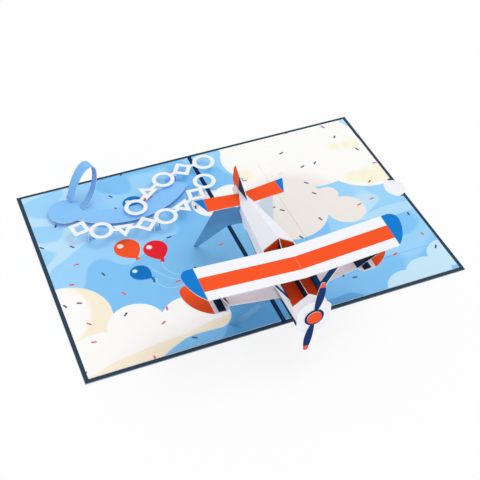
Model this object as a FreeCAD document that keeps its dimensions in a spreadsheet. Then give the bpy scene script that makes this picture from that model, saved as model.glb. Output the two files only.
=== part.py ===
import FreeCAD, Part
import math
import os

import Sketcher

# Pop up card: an open card with a folded paper biplane held up on two V-folds.
# Millimetres. Origin at the centre of the card's underside, +X right, +Y to the back, +Z up.
# The fold of the card lies on the Y axis, and the biplane flies along it with its nose to -Y.

doc = FreeCAD.newDocument("pop_up_card")
sheet = doc.addObject("Spreadsheet::Sheet", "Sizes")

SIZES = {
    # The card and what is glued or tucked into it
    "card_width": 254.0,
    "card_depth": 177.8,
    "cover_thick": 0.7,
    "liner_thick": 0.4,
    "liner_border": 2.7,
    "fold_gap": 3.0,
    "crease_wide": 0.8,
    "crease_deep": 0.25,
    "paper": 0.4,
    "slit_clear": 0.05,
    "note_wide": 78.0,
    "note_deep": 120.0,
    "note_thick": 0.3,
    "note_clear": 0.1,
    "note_inset": 5.0,
    "tab_radius": 9.0,
    "tab_out": 3.0,
    "notch_radius": 10.5,
    "notch_inset": 1.0,
    # The V-folds under the biplane: spread is along Y for each unit of X, lean is for each of Z
    "fold_spread": 0.4185,
    "fold_lean": 0.3086,
    "foot_tab": 7.0,
    "tail_fold_y": -15.7,
    "tail_foot_out": 29.0,
    "tail_foot_in": 27.0,
    "tail_top_half": 19.0,
    "arch_half": 11.0,
    "arch_spring": 26.0,
    "arch_crown": 30.0,
    "arch_bow": 18.0,
    "nose_fold_y": -90.8,
    "nose_foot_out": 32.0,
    "nose_foot_in": 27.5,
    "nose_top_half": 15.0,
    "nose_bridge": 34.0,
    "nose_leg_top": 2.0,
    # The fuselage: a folded sheet of two walls and a ridged deck
    "body_half": 10.4,
    "tail_half": 2.6,
    "tail_end": 6.0,
    "deck_slope": 0.68,
    "ridge_tail": 47.2,
    "ridge_cockpit": 61.0,
    "ridge_nose": 54.6,
    "cockpit_back": 75.2,
    "cockpit_front": 118.5,
    "cockpit_floor": 47.0,
    "back_lap": 50.8,
    "nose_face": 126.0,
    "wall_bottom": 39.6,
    "belly_kink": 41.0,
    "tail_bottom": 46.0,
    "lug_radius": 5.0,
    "lug_half": 4.5,
    "lug_rise": 1.5,
    "lug_y": 35.0,
    # The spine: a flat plate down the middle, with the fin as its tail
    "spine_bottom": 41.2,
    "spine_gap": 0.6,
    "spine_well": 54.0,
    "spine_step": 9.0,
    "spine_bow": 14.0,
    "spine_end_gap": 3.0,
    "spine_tuck": 0.5,
    "fin_front": 27.0,
    "fin_top_y": 7.2,
    "fin_top": 64.0,
    "fin_back": 2.4,
    "fin_waist": 50.0,
    "fin_heel": 2.0,
    "fin_hip_in": 1.2,
    "fin_hip_rise": 6.0,
    "fin_bow": 12.0,
    "fin_hip_bow": 20.0,
    "fin_tip_long": 2.0,
    "fin_tip_drop": 0.8,
    "fin_tip_radius": 1.6,
    "fin_toe": 0.4,
    "fin_toe_rise": 0.2,
    # The tailplane
    "tailplane_z": 47.7,
    "tailplane_root_back": 15.7,
    "tailplane_root_front": 26.8,
    "tailplane_tip_back": 11.7,
    "tailplane_tip_front": 24.9,
    "tailplane_half": 30.3,
    "tailplane_front_half": 25.6,
    # The lower wing
    "lower_z": 40.4,
    "lower_rise": 0.058,
    "lower_tip_rise": 0.11,
    "lower_crease": 40.5,
    "lower_half": 64.6,
    "lower_back": 77.0,
    "lower_front": 103.4,
    "lower_jog": 99.4,
    "lower_tip_radius": 21.5,
    "lower_corner": 6.0,
    "lower_root_out": 0.5,
    "lower_notch": 2.5,
    "lower_tip_run": 13.5,
    # The upper wing
    "upper_z": 65.0,
    "upper_rise": 0.0705,
    "upper_pitch": 0.075,
    "upper_half": 67.0,
    "upper_back": 89.7,
    "upper_front": 114.1,
    "upper_straight": 58.0,
    "upper_tip_radius": 28.0,
    "upper_corner": 5.5,
    # The struts between the wings
    "strut_top": 51.0,
    "strut_chord": 11.0,
    "strut_lean": 13.1,
    "strut_rise": 25.0,
    "bracket_front": 114.0,
    "bracket_chord": 4.0,
    "bracket_back": 98.0,
    "bracket_web": 3.1,
    "bracket_out": 20.3,
    "bracket_top": 66.0,
    "bracket_fold": 0.3,
    "bracket_slant": 0.3,
    "face_gap": 0.02,
    # The nose and the propeller
    "hub_z": 44.2,
    "nose_radius": 12.2,
    "nose_half": 10.5,
    "blade_length": 26.35,
    "blade_bow": 30.0,
    "blade_bow_back": 60.0,
    "blade_root": 1.3,
    "blade_tip": 1.4,
    "blade_turn": 10.1,
    "hub_radius": 6.0,
    "cap_radius": 4.5,
    "shank_radius": 1.6,
    "washer_radius": 4.0,
    "running_gap": 0.1,
    "shank_clear": 0.05,
    # The trail ribbon and its loop
    "ribbon_z": 4.0,
    "ribbon_wide": 14.0,
    "ribbon_radius": 50.0,
    "ribbon_start": 222.0,
    "ribbon_sweep": 100.0,
    "ribbon_end_radius": 12.0,
    "ribbon_end_x": -99.0,
    "ribbon_end_y": 58.5,
    "loop_wide": 7.0,
    "loop_base": 6.0,
    "loop_belly": 6.8,
    "loop_belly_z": 17.0,
    "loop_top": 29.5,
    "loop_lean": 26.0,
    "loop_turn": 17.8,
    "loop_in": 7.0,
    "loop_angle": 218.9,
    "loop_side_bow": 60.0,
    "loop_crown_bow": 12.0,
    "loop_sink": 3.0,
    # The garland: two arcs of cut shapes
    "garland_stroke": 2.8,
    "garland_shape": 8.0,
    "garland_string": 2.4,
    "smile_x": -57.0,
    "smile_y": 90.0,
    "smile_radius": 69.0,
    "smile_start": 235.4,
    "smile_step": 15.05,
    "smile_z": 8.5,
    "crest_x": 7.0,
    "crest_y": -8.2,
    "crest_radius": 79.0,
    "crest_start": 91.0,
    "crest_step": 17.1,
    "crest_z": 6.5,
    "riser_wide": 4.0,
    "riser_long": 5.0,
}

for row, (alias, number) in enumerate(SIZES.items(), start=1):
    sheet.set(f"A{row}", alias)
    sheet.set(f"B{row}", str(number))
    sheet.setAlias(f"B{row}", alias)
doc.recompute()


class Size:
    """A number worked out from the sheet, together with the expression that ties it there."""

    def __init__(self, text, value):
        self.text = text
        self.value = value

    def __add__(self, other):
        other = as_size(other)
        return Size(f"({self.text} + {other.text})", self.value + other.value)

    def __radd__(self, other):
        return as_size(other) + self

    def __sub__(self, other):
        other = as_size(other)
        return Size(f"({self.text} - {other.text})", self.value - other.value)

    def __rsub__(self, other):
        return as_size(other) - self

    def __mul__(self, other):
        other = as_size(other)
        return Size(f"({self.text} * {other.text})", self.value * other.value)

    def __rmul__(self, other):
        return as_size(other) * self

    def __truediv__(self, other):
        other = as_size(other)
        return Size(f"({self.text} / {other.text})", self.value / other.value)

    def __neg__(self):
        return Size(f"(-{self.text})", -self.value)


def as_size(item):
    """Wraps a plain number as a Size."""
    if isinstance(item, Size):
        return item
    return Size(f"({float(item)})", float(item))


def root(item):
    """Square root of a Size."""
    return Size(f"sqrt({item.text})", math.sqrt(item.value))


def cosine(item):
    """Cosine of a Size that is an angle in degrees."""
    return Size(f"cos({item.text} * 1 deg)", math.cos(math.radians(item.value)))


def sine(item):
    """Sine of a Size that is an angle in degrees."""
    return Size(f"sin({item.text} * 1 deg)", math.sin(math.radians(item.value)))


class Lookup:
    """Gives each alias of the sheet as a Size."""

    def __getattr__(self, alias):
        return Size(f"Sizes.{alias}", float(sheet.get(alias)))


d = Lookup()


class Arc:
    """A corner that is reached along an arc; a positive radius turns to the left."""

    def __init__(self, x, y, radius):
        self.point = (as_size(x), as_size(y))
        self.radius = as_size(radius)


def corner_point(corner):
    """Gives a corner's two Sizes."""
    if isinstance(corner, Arc):
        return corner.point
    return as_size(corner[0]), as_size(corner[1])


def arc_between(start, end, radius):
    """Makes the short arc from start to end; a negative radius makes it turn to the right."""
    turn_left = radius > 0
    chord = end.sub(start)
    half = chord.Length / 2
    rise = math.sqrt(max(radius * radius - half * half, 0.0))
    side = FreeCAD.Vector(-chord.y, chord.x, 0).normalize()
    middle = start.add(end).multiply(0.5)
    centre = middle.add(side.multiply(rise if turn_left else -rise))
    angle_start = math.atan2(start.y - centre.y, start.x - centre.x)
    angle_end = math.atan2(end.y - centre.y, end.x - centre.x)
    if not turn_left:
        angle_start, angle_end = angle_end, angle_start
    if angle_end < angle_start:
        angle_end += 2 * math.pi
    circle = Part.Circle(centre, FreeCAD.Vector(0, 0, 1), abs(radius))
    return Part.ArcOfCircle(circle, angle_start, angle_end)


def tie(sketch, kind, items, size):
    """Adds one constraint and binds it to its expression."""
    index = sketch.addConstraint(Sketcher.Constraint(kind, *items, size.value))
    sketch.setExpression(f"Constraints[{index}]", size.text)


def draw_outline(sketch, corners):
    """Draws one closed outline and ties each corner and arc to the sheet."""
    places = [FreeCAD.Vector(corner_point(c)[0].value, corner_point(c)[1].value, 0) for c in corners]
    edges = []
    for index, start in enumerate(places):
        following = (index + 1) % len(corners)
        end = places[following]
        target = corners[following]
        if isinstance(target, Arc):
            edge = sketch.addGeometry(arc_between(start, end, target.radius.value))
            ends = START_TO_END if target.radius.value > 0 else END_TO_START
            tie(sketch, "Radius", (edge,), target.radius if target.radius.value > 0 else -target.radius)
        else:
            edge = sketch.addGeometry(Part.LineSegment(start, end))
            ends = START_TO_END
        edges.append((edge, ends))
    for index, (edge, ends) in enumerate(edges):
        before, before_ends = edges[index - 1]
        sketch.addConstraint(Sketcher.Constraint("Coincident", before, before_ends[1], edge, ends[0]))
        x, y = corner_point(corners[index])
        tie(sketch, "DistanceX", (-1, 1, edge, ends[0]), x)
        tie(sketch, "DistanceY", (-1, 1, edge, ends[0]), y)


def draw_circle(sketch, x, y, radius):
    """Draws one circle and ties its centre and radius to the sheet."""
    x, y, radius = as_size(x), as_size(y), as_size(radius)
    centre = FreeCAD.Vector(x.value, y.value, 0)
    ring = sketch.addGeometry(Part.Circle(centre, FreeCAD.Vector(0, 0, 1), radius.value))
    tie(sketch, "DistanceX", (-1, 1, ring, 3), x)
    tie(sketch, "DistanceY", (-1, 1, ring, 3), y)
    tie(sketch, "Radius", (ring,), radius)


def bind(item, name, size):
    """Binds one property of an object to the sheet."""
    item.setExpression(name, as_size(size).text)


def new_body(node):
    """Makes an empty body whose label is the node's name."""
    body = doc.addObject("PartDesign::Body", node)
    body.Label = node
    return body


def body_sketch(body, role, outlines, offset=0.0):
    """Adds a sketch on one of the body's own origin planes, raised along its normal."""
    sketch = body.newObject("Sketcher::SketchObject", f"{body.Name}_sketch")
    plane = [item for item in body.Origin.OriginFeatures if item.Role == role][0]
    sketch.AttachmentSupport = [(plane, "")]
    sketch.MapMode = "FlatFace"
    bind(sketch, ".AttachmentOffset.Base.z", offset)
    for outline in outlines:
        if isinstance(outline, list):
            draw_outline(sketch, outline)
        else:
            draw_circle(sketch, *outline)
    return sketch


def pad(body, role, outlines, length, offset=0.0, both_ways=False):
    """Pads outlines by a length from an offset along the plane's normal."""
    sketch = body_sketch(body, role, outlines, offset)
    feature = body.newObject("PartDesign::Pad", f"{body.Name}_pad")
    feature.Profile = sketch
    bind(feature, "Length", length)
    feature.Midplane = both_ways
    return feature


def pocket(body, role, outlines, length, offset=0.0, both_ways=False):
    """Cuts outlines by a length against the plane's normal, starting at an offset."""
    sketch = body_sketch(body, role, outlines, offset)
    feature = body.newObject("PartDesign::Pocket", f"{body.Name}_pocket")
    feature.Profile = sketch
    bind(feature, "Length", length)
    feature.Midplane = both_ways
    return feature


PLANES = {
    "XY": FreeCAD.Rotation(0, 0, 0),
    "XZ": FreeCAD.Rotation(FreeCAD.Vector(1, 0, 0), 90),
    "YZ": FreeCAD.Rotation(FreeCAD.Vector(1, 1, 1), 120),
}
# A cutting outline runs past what it cuts by MARGIN, and through the whole object by REACH
REACH = 200.0
MARGIN = 1.0
HALF_TURN = 180.0
# The order in which an edge uses its sketch points, 1 being its own start and 2 its end
START_TO_END = (1, 2)
END_TO_START = (2, 1)


def prism(name, plane, outline, direction, forward, backward=0.0):
    """Extrudes a free outline along a direction, for the folded sheets."""
    sketch = doc.addObject("Sketcher::SketchObject", f"{name}_outline")
    sketch.Placement = FreeCAD.Placement(FreeCAD.Vector(), PLANES[plane])
    draw_outline(sketch, outline)
    solid = doc.addObject("Part::Extrusion", name)
    solid.Base = sketch
    solid.DirMode = "Custom"
    solid.Dir = FreeCAD.Vector(*[as_size(part).value for part in direction])
    for axis, part in zip("xyz", direction):
        bind(solid, f"Dir.{axis}", part)
    bind(solid, "LengthFwd", forward)
    bind(solid, "LengthRev", backward)
    solid.Solid = True
    return solid


def common(name, first, second):
    """Keeps what two solids share."""
    result = doc.addObject("Part::Common", name)
    result.Base = first
    result.Tool = second
    return result


def cut(name, first, tool):
    """Takes one solid from another."""
    result = doc.addObject("Part::Cut", name)
    result.Base = first
    result.Tool = tool
    return result


def fuse(name, shapes):
    """Joins several solids into one."""
    result = doc.addObject("Part::MultiFuse", name)
    result.Shapes = shapes
    result.Refine = True
    return result


def mirrored(outline):
    """Turns an outline's right half into its left half, in the order that closes it."""
    other = []
    source = list(reversed(outline))
    for index, corner in enumerate(source):
        x, y = corner_point(corner)
        before = source[index - 1] if index else None
        if isinstance(before, Arc):
            other.append(Arc(-x, y, before.radius))
        else:
            other.append((-x, y))
    return other


def symmetric(right_half):
    """Closes a right half, which starts and ends on the middle line, with its mirror image."""
    outline = right_half + mirrored(right_half)[1:-1]
    if isinstance(right_half[1], Arc):
        x, y = corner_point(right_half[0])
        outline[0] = Arc(x, y, right_half[1].radius)
    return outline


def rectangle(x_low, x_high, y_low, y_high):
    """Four corners of a rectangle."""
    return [(x_low, y_low), (x_high, y_low), (x_high, y_high), (x_low, y_high)]


nodes = []


def keep(item, node):
    """Names a finished sub-part."""
    item.Label = node
    nodes.append(item)
    return item


# The card: a scored cover, two liners and a note card in a pocket under the right liner

half_width = d.card_width / 2
half_depth = d.card_depth / 2
liner_x = half_width - d.liner_border
liner_y = half_depth - d.liner_border
liner_in = d.fold_gap / 2
liner_top = d.cover_thick + d.liner_thick
spread_length = root(1 + d.fold_spread * d.fold_spread)
fold_through = d.paper * root(1 + d.fold_spread * d.fold_spread + d.fold_lean * d.fold_lean)

foot_z = d.cover_thick - d.paper
tail_leg_lean = (d.tail_foot_in - d.arch_half) / (d.arch_spring - foot_z)
nose_leg_in = d.nose_top_half - d.nose_leg_top
nose_leg_lean = (d.nose_foot_in - nose_leg_in) / (d.nose_bridge - foot_z)

FOLDS = {
    "tail": (d.tail_fold_y, d.tail_foot_in, d.tail_foot_out, tail_leg_lean),
    "nose": (d.nose_fold_y, d.nose_foot_in, d.nose_foot_out, nose_leg_lean),
}


def foot_plan(fold, side, grow=0.0):
    """Plan outline of one glued foot tab: it runs back from the line where its leg lands."""
    fold_y, inner, outer, _ = FOLDS[fold]
    inner = inner - grow
    outer = outer + grow
    back_x = -d.fold_spread * (d.foot_tab + grow) / spread_length
    back_y = (d.foot_tab + grow) / spread_length
    near_in = (side * inner, fold_y + d.fold_spread * inner - grow)
    near_out = (side * outer, fold_y + d.fold_spread * outer - grow)
    far_out = (side * (outer + back_x), fold_y + d.fold_spread * outer + back_y)
    far_in = (side * (inner + back_x), fold_y + d.fold_spread * inner + back_y)
    return [near_in, near_out, far_out, far_in]


def slit_plan(fold, side):
    """Plan outline of the slit that one leaning leg passes through."""
    fold_y, inner, outer, leg_lean = FOLDS[fold]
    inner = inner - leg_lean * (liner_top - foot_z) - d.slit_clear
    outer = outer + d.slit_clear
    front = -d.fold_lean * d.liner_thick - d.slit_clear
    back = fold_through + d.fold_lean * d.paper + d.slit_clear
    return [
        (side * inner, fold_y + d.fold_spread * inner + front),
        (side * outer, fold_y + d.fold_spread * outer + front),
        (side * outer, fold_y + d.fold_spread * outer + back),
        (side * inner, fold_y + d.fold_spread * inner + back),
    ]


cover = new_body("cover")
pad(cover, "XY_Plane", [rectangle(-half_width, half_width, -half_depth, half_depth)], d.cover_thick)
crease = rectangle(-d.crease_wide / 2, d.crease_wide / 2, -half_depth, half_depth)
pocket(cover, "XY_Plane", [crease], d.crease_deep, d.cover_thick)
recesses = [foot_plan(fold, side, d.slit_clear) for fold in FOLDS for side in (-1, 1)]
pocket(cover, "XY_Plane", recesses, d.paper, d.cover_thick)
landings = [slit_plan(fold, side) for fold in FOLDS for side in (-1, 1)]
pocket(cover, "XY_Plane", landings, d.paper, d.cover_thick)
keep(cover, "cover")

left_liner = new_body("left_liner")
left_plan = rectangle(-liner_x, -liner_in, -liner_y, liner_y)
pad(left_liner, "XY_Plane", [left_plan], d.liner_thick, d.cover_thick)
left_slits = [slit_plan(fold, -1) for fold in FOLDS]
pocket(left_liner, "XY_Plane", left_slits, d.liner_thick, liner_top)
keep(left_liner, "left_liner")

pocket_high = d.note_thick + d.note_clear
note_right = half_width - d.note_inset
note_left = note_right - d.note_wide
pocket_left = note_left - d.note_clear
pocket_half = d.note_deep / 2 + d.note_clear
pocket_rise = d.liner_thick
notch_x = half_width - d.notch_inset
right_liner = new_body("right_liner")
right_plan = rectangle(liner_in, liner_x, -liner_y, liner_y)
pad(right_liner, "XY_Plane", [right_plan], pocket_high + d.liner_thick, d.cover_thick)
pocket(
    right_liner,
    "XY_Plane",
    [rectangle(pocket_left, half_width, -pocket_half, pocket_half)],
    pocket_high,
    d.cover_thick + pocket_high,
)
step_x = pocket_left - pocket_rise
step_y = pocket_half + pocket_rise
margin = [
    (-half_width, -half_depth),
    (half_width, -half_depth),
    (half_width, -step_y),
    (step_x, -step_y),
    (step_x, step_y),
    (half_width, step_y),
    (half_width, half_depth),
    (-half_width, half_depth),
]
pocket(right_liner, "XY_Plane", [margin], pocket_high, liner_top + pocket_high)
right_slits = [slit_plan(fold, 1) for fold in FOLDS]
pocket(right_liner, "XY_Plane", right_slits, d.liner_thick, liner_top)
pocket(
    right_liner,
    "XY_Plane",
    [(notch_x, 0, d.notch_radius)],
    pocket_high + d.liner_thick,
    liner_top + pocket_high,
)
keep(right_liner, "right_liner")

note_half = d.note_deep / 2
tab_x = half_width + d.tab_out - d.tab_radius
note_card = new_body("note_card")
note_plan = [
    (note_left, -note_half),
    (note_right, -note_half),
    (note_right, -d.tab_radius),
    (tab_x, -d.tab_radius),
    Arc(tab_x + d.tab_radius, 0, d.tab_radius),
    Arc(tab_x, d.tab_radius, d.tab_radius),
    (note_right, d.tab_radius),
    (note_right, note_half),
    (note_left, note_half),
]
pad(note_card, "XY_Plane", [note_plan], d.note_thick, d.cover_thick + d.note_clear / 2)
keep(note_card, "note_card")


# The V-folds: each is one sheet, folded on the middle line, with a glued tab at each foot

def v_slab(name, fold_y):
    """The two leaning panels of a V-fold, wider and taller than the sheet cut from them."""
    reach = d.body_half * 4
    start = fold_y + d.fold_lean * d.cover_thick
    plan = [
        (-reach, start + d.fold_spread * reach),
        (0, start),
        (reach, start + d.fold_spread * reach),
        (reach, start + d.fold_spread * reach + fold_through),
        (0, start + fold_through),
        (-reach, start + d.fold_spread * reach + fold_through),
    ]
    length = d.tailplane_z * root(1 + d.fold_lean * d.fold_lean)
    return prism(name, "XY", plan, (0, -d.fold_lean, 1), length)


def v_fold(node, fold, front_view):
    """Cuts a V-fold to its front view and joins the glued tabs to its feet."""
    panels = common(
        f"{node}_panels",
        v_slab(f"{node}_slab", FOLDS[fold][0]),
        prism(f"{node}_front", "XZ", front_view, (0, 1, 0), REACH, REACH),
    )
    tabs = []
    for side in (-1, 1):
        tab = prism(f"{node}_tab_{len(tabs)}", "XY", foot_plan(fold, side), (0, 0, 1), d.cover_thick)
        under = prism(
            f"{node}_under_{len(tabs)}",
            "XY",
            foot_plan(fold, side, MARGIN),
            (0, 0, 1),
            d.cover_thick - d.paper,
        )
        tabs.append(cut(f"{node}_foot_{len(tabs)}", tab, under))
    return keep(fuse(node, [panels] + tabs), node)


# The tail support's slot is as wide as the fuselage at that station, and the walls rest on its floor
slot_station = d.fold_lean * (d.tailplane_z - d.cover_thick) - d.tail_fold_y
taper_length = d.cockpit_back - d.tail_end
slot_wall = d.tail_half + (d.body_half - d.tail_half) * (slot_station - d.tail_end) / taper_length
tail_slot = slot_wall + d.slit_clear
lug_end = d.lug_y - d.lug_half
belly_z = d.wall_bottom + d.lug_rise
belly_slope = (d.tail_bottom - belly_z) / (lug_end - d.tail_end)
seat_start = -d.tail_fold_y - d.fold_lean * d.cover_thick - d.fold_spread * slot_wall
belly_at_seat = (belly_z + belly_slope * (lug_end - seat_start)) / (1 + belly_slope * d.fold_lean)
tail_seat = belly_at_seat - d.slit_clear
tail_view = symmetric([
    (0, d.arch_crown),
    Arc(d.arch_half, d.arch_spring, -d.arch_bow),
    (d.tail_foot_in, foot_z),
    (d.tail_foot_out, foot_z),
    (d.tail_top_half, d.tailplane_z - d.slit_clear),
    (tail_slot, d.tailplane_z - d.slit_clear),
    (tail_slot, tail_seat),
    (0, tail_seat),
])
v_fold("tail_support", "tail", tail_view)

nose_seat = d.wall_bottom - d.slit_clear
nose_view = symmetric([
    (0, d.nose_bridge),
    (nose_leg_in, d.nose_bridge),
    (d.nose_foot_in, foot_z),
    (d.nose_foot_out, foot_z),
    (d.nose_top_half, nose_seat),
    (0, nose_seat),
])
v_fold("front_support", "nose", nose_view)


# The fuselage: two walls and a ridged deck folded from one sheet, open underneath

def half_at(y):
    """Half-width of the fuselage at a station."""
    taper = (d.body_half.value - d.tail_half.value) / (d.cockpit_back.value - d.tail_end.value)
    if y < -d.cockpit_back.value:
        return d.body_half.value
    return d.body_half.value - taper * (y + d.cockpit_back.value)


def section(y, ridge, inset, bottom):
    """One cross-section of the fuselage, drawn in by an inset."""
    half = half_at(y) - inset
    slope = d.deck_slope.value
    crown = ridge - inset * math.sqrt(1 + slope * slope)
    sill = crown - half * slope
    outline = [(-half, bottom), (half, bottom), (half, sill), (0, crown), (-half, sill)]
    return Part.makePolygon([FreeCAD.Vector(x, y, z) for x, z in outline + outline[:1]])


shell_front = d.nose_face.value - d.paper.value
stations = [
    (-shell_front, d.ridge_nose.value),
    (-d.cockpit_back.value, d.ridge_cockpit.value),
    (-d.tail_end.value, d.ridge_tail.value),
]


def loft(inset, bottom):
    """A solid through the fuselage's stations."""
    return Part.makeLoft([section(y, ridge, inset, bottom) for y, ridge in stations], True, True)


deep = d.wall_bottom.value - 2 * d.lug_radius.value
hollow = loft(0.0, deep).cut(loft(d.paper.value, deep - MARGIN))

shell_loft = doc.addObject("Part::Feature", "shell_loft")
shell_loft.Shape = hollow

# Seen from the side, the same sheet has the cockpit cut out of its deck and a round lug below
sill_back = d.ridge_cockpit - d.body_half * d.deck_slope
drop = (d.ridge_cockpit - d.ridge_nose) / (d.nose_face - d.paper - d.cockpit_back)
sill_front = sill_back - drop * (d.cockpit_front - d.cockpit_back)
clear_top = d.ridge_cockpit + MARGIN
shell_side = [
    (-(d.nose_face - d.paper), d.wall_bottom),
    (-d.belly_kink, d.wall_bottom),
    (-(d.lug_y + d.lug_half), d.wall_bottom),
    Arc(-lug_end, belly_z, d.lug_radius),
    (-d.tail_end, d.tail_bottom),
    (-d.tail_end, clear_top),
    (-d.cockpit_back, clear_top),
    (-d.cockpit_back, sill_back),
    (-d.cockpit_front, sill_front),
    (-d.cockpit_front, clear_top),
    (-(d.nose_face - d.paper), clear_top),
]
shell_trim = prism("shell_trim", "YZ", shell_side, (1, 0, 0), REACH, REACH)
shell_walls = common("shell_walls", shell_loft, shell_trim)


def lower_profile(low, high, grow_half=0.0):
    """Front view of the lower wing's sheet, between two heights above its underside."""
    half = d.lower_half + grow_half
    crease_z = d.lower_z + d.lower_rise * d.lower_crease
    tip_z = crease_z + d.lower_tip_rise * (half - d.lower_crease)
    return [
        (-half, tip_z + low),
        (-d.lower_crease, crease_z + low),
        (0, d.lower_z + low),
        (d.lower_crease, crease_z + low),
        (half, tip_z + low),
        (half, tip_z + high),
        (d.lower_crease, crease_z + high),
        (0, d.lower_z + high),
        (-d.lower_crease, crease_z + high),
        (-half, tip_z + high),
    ]


clear = d.slit_clear
wing_slot = prism(
    "wing_slot",
    "XZ",
    lower_profile(-clear, d.paper + clear),
    (0, -1, 0),
    d.lower_front + MARGIN,
    -(d.lower_back - clear),
)
tail_slot_front = d.tailplane_root_front + clear
tail_slot_plan = rectangle(-d.body_half, d.body_half, -tail_slot_front, -d.tailplane_tip_back)
tail_gap = prism("tail_gap", "XY", tail_slot_plan, (0, 0, 1), d.tailplane_z + d.paper + clear)
tail_gap_under = prism("tail_gap_under", "XY", tail_slot_plan, (0, 0, 1), d.tailplane_z - clear)
tail_slit = cut("tail_slit", tail_gap, tail_gap_under)
fin_slot_half = d.paper / 2 + clear
fin_slit_plan = rectangle(-fin_slot_half, fin_slot_half, -(d.fin_front + d.spine_gap), 0)
fin_slit = prism("fin_slit", "XY", fin_slit_plan, (0, 0, 1), clear_top)
shell_slots = fuse("shell_slots", [wing_slot, tail_slit, fin_slit])
keep(cut("fuselage_shell", shell_walls, shell_slots), "fuselage_shell")


# The spine: one flat sheet on the middle line, whose tail end is the fin

spine_front = d.nose_face - 2 * d.paper - d.spine_gap
ridge_front = d.ridge_cockpit - drop * (d.cockpit_front - d.cockpit_back)
tail_drop = (d.ridge_cockpit - d.ridge_tail) / (d.cockpit_back - d.tail_end)
ridge_at_fin = d.ridge_cockpit - tail_drop * (d.cockpit_back - d.fin_front)
tailplane_middle = (d.tailplane_root_front + d.tailplane_root_back) / 2
fin_hip = d.fin_back + d.fin_hip_in
well_y = d.cockpit_back + MARGIN
spine_side = [
    (-spine_front, d.spine_bottom),
    (-(d.belly_kink + d.fin_heel), d.spine_bottom),
    (-(d.tail_end + d.spine_end_gap), d.tail_bottom - d.spine_tuck),
    (-(d.fin_back + d.fin_heel), d.tail_bottom - d.spine_tuck),
    Arc(-d.fin_back, d.fin_waist, d.fin_bow),
    Arc(-fin_hip, d.fin_waist + d.fin_hip_rise, d.fin_hip_bow),
    Arc(-d.fin_top_y, d.fin_top, d.fin_bow),
    Arc(-(d.fin_top_y + d.fin_tip_long), d.fin_top - d.fin_tip_drop, d.fin_tip_radius),
    (-d.fin_front, ridge_at_fin + d.fin_toe_rise),
    (-(d.fin_front + d.fin_toe), ridge_at_fin - d.spine_gap),
    (-well_y, d.ridge_cockpit - d.spine_gap),
    Arc(-(well_y + d.spine_step), d.spine_well, -d.spine_bow),
    (-(d.cockpit_front + MARGIN), ridge_front - d.spine_gap - MARGIN),
    (-spine_front, d.ridge_nose - d.spine_gap),
]
spine = new_body("spine_plate")
pad(spine, "YZ_Plane", [spine_side], d.paper, 0.0, True)
half_lap = rectangle(-tailplane_middle, 0, d.tailplane_z - clear, d.tailplane_z + d.paper + clear)
pocket(spine, "YZ_Plane", [half_lap], d.paper * 2, 0.0, True)
rear_lap = rectangle(-(d.cockpit_back + clear), -(d.cockpit_back - d.paper - clear), d.back_lap, clear_top)
pocket(spine, "YZ_Plane", [rear_lap], d.paper * 2, 0.0, True)
keep(spine, "spine_plate")


# The cockpit: a back that laps with the spine, and a floor strip on each side of the spine

back_half = d.body_half - d.paper - 2 * clear
back_crown = d.ridge_cockpit - d.paper * root(1 + d.deck_slope * d.deck_slope) - tail_drop * d.paper - 2 * clear
cockpit_rear = new_body("cockpit_rear")
back_view = [
    (-back_half, d.spine_bottom),
    (back_half, d.spine_bottom),
    (back_half, back_crown - back_half * d.deck_slope),
    (0, back_crown),
    (-back_half, back_crown - back_half * d.deck_slope),
]
pad(cockpit_rear, "XZ_Plane", [back_view], d.paper, d.cockpit_back - d.paper)
back_slit = rectangle(-fin_slot_half, fin_slot_half, d.spine_bottom - MARGIN, d.back_lap)
pocket(cockpit_rear, "XZ_Plane", [back_slit], d.paper + MARGIN, d.cockpit_back)
keep(cockpit_rear, "cockpit_rear")

strip_out = back_half + clear
for hand, inner, outer in (("left", -strip_out, -fin_slot_half), ("right", fin_slot_half, strip_out)):
    strip = new_body(f"cockpit_floor_{hand}")
    strip_plan = rectangle(inner, outer, -d.cockpit_front, -(d.cockpit_back + clear))
    pad(strip, "XY_Plane", [strip_plan], d.paper, d.cockpit_floor)
    keep(strip, f"cockpit_floor_{hand}")

tailplane = new_body("tailplane")
tailplane_plan = symmetric([
    (0, -d.tailplane_root_front),
    (d.tailplane_front_half, -d.tailplane_tip_front),
    (d.tailplane_half, -d.tailplane_tip_back),
    (0, -d.tailplane_root_back),
])
pad(tailplane, "XY_Plane", [tailplane_plan], d.paper, d.tailplane_z)
lap_start = d.tailplane_root_front + MARGIN
lap_slot = rectangle(-fin_slot_half, fin_slot_half, -lap_start, -(tailplane_middle - clear))
pocket(tailplane, "XY_Plane", [lap_slot], d.paper, d.tailplane_z + d.paper)
keep(tailplane, "tailplane")


# The wings: each is one sheet folded across the middle

lower_plan = symmetric([
    (0, -(d.lower_front + d.lower_root_out)),
    (d.lower_crease, -d.lower_jog),
    (d.lower_crease + d.lower_notch, -d.lower_front),
    (d.lower_half - d.lower_tip_run, -d.lower_front),
    Arc(d.lower_half, -(d.lower_back + d.lower_corner), d.lower_tip_radius),
    Arc(d.lower_half - d.lower_corner, -d.lower_back, d.lower_corner),
    (0, -d.lower_back),
])
lower_slab = prism("lower_slab", "XZ", lower_profile(0, d.paper, MARGIN), (0, 1, 0), REACH, REACH)
lower_outline = prism("lower_outline", "XY", lower_plan, (0, 0, 1), clear_top)
keep(common("lower_wing", lower_slab, lower_outline), "lower_wing")

upper_middle = (d.upper_back + d.upper_front) / 2


def upper_profile(low, high, reach):
    """Front view, where the Y axis crosses, of a slab above the upper wing's underside."""
    middle_z = d.upper_z + d.upper_pitch * upper_middle
    side_z = middle_z + d.upper_rise * reach
    return [
        (-reach, side_z + low),
        (0, middle_z + low),
        (reach, side_z + low),
        (reach, side_z + high),
        (0, middle_z + high),
        (-reach, side_z + high),
    ]


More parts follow.
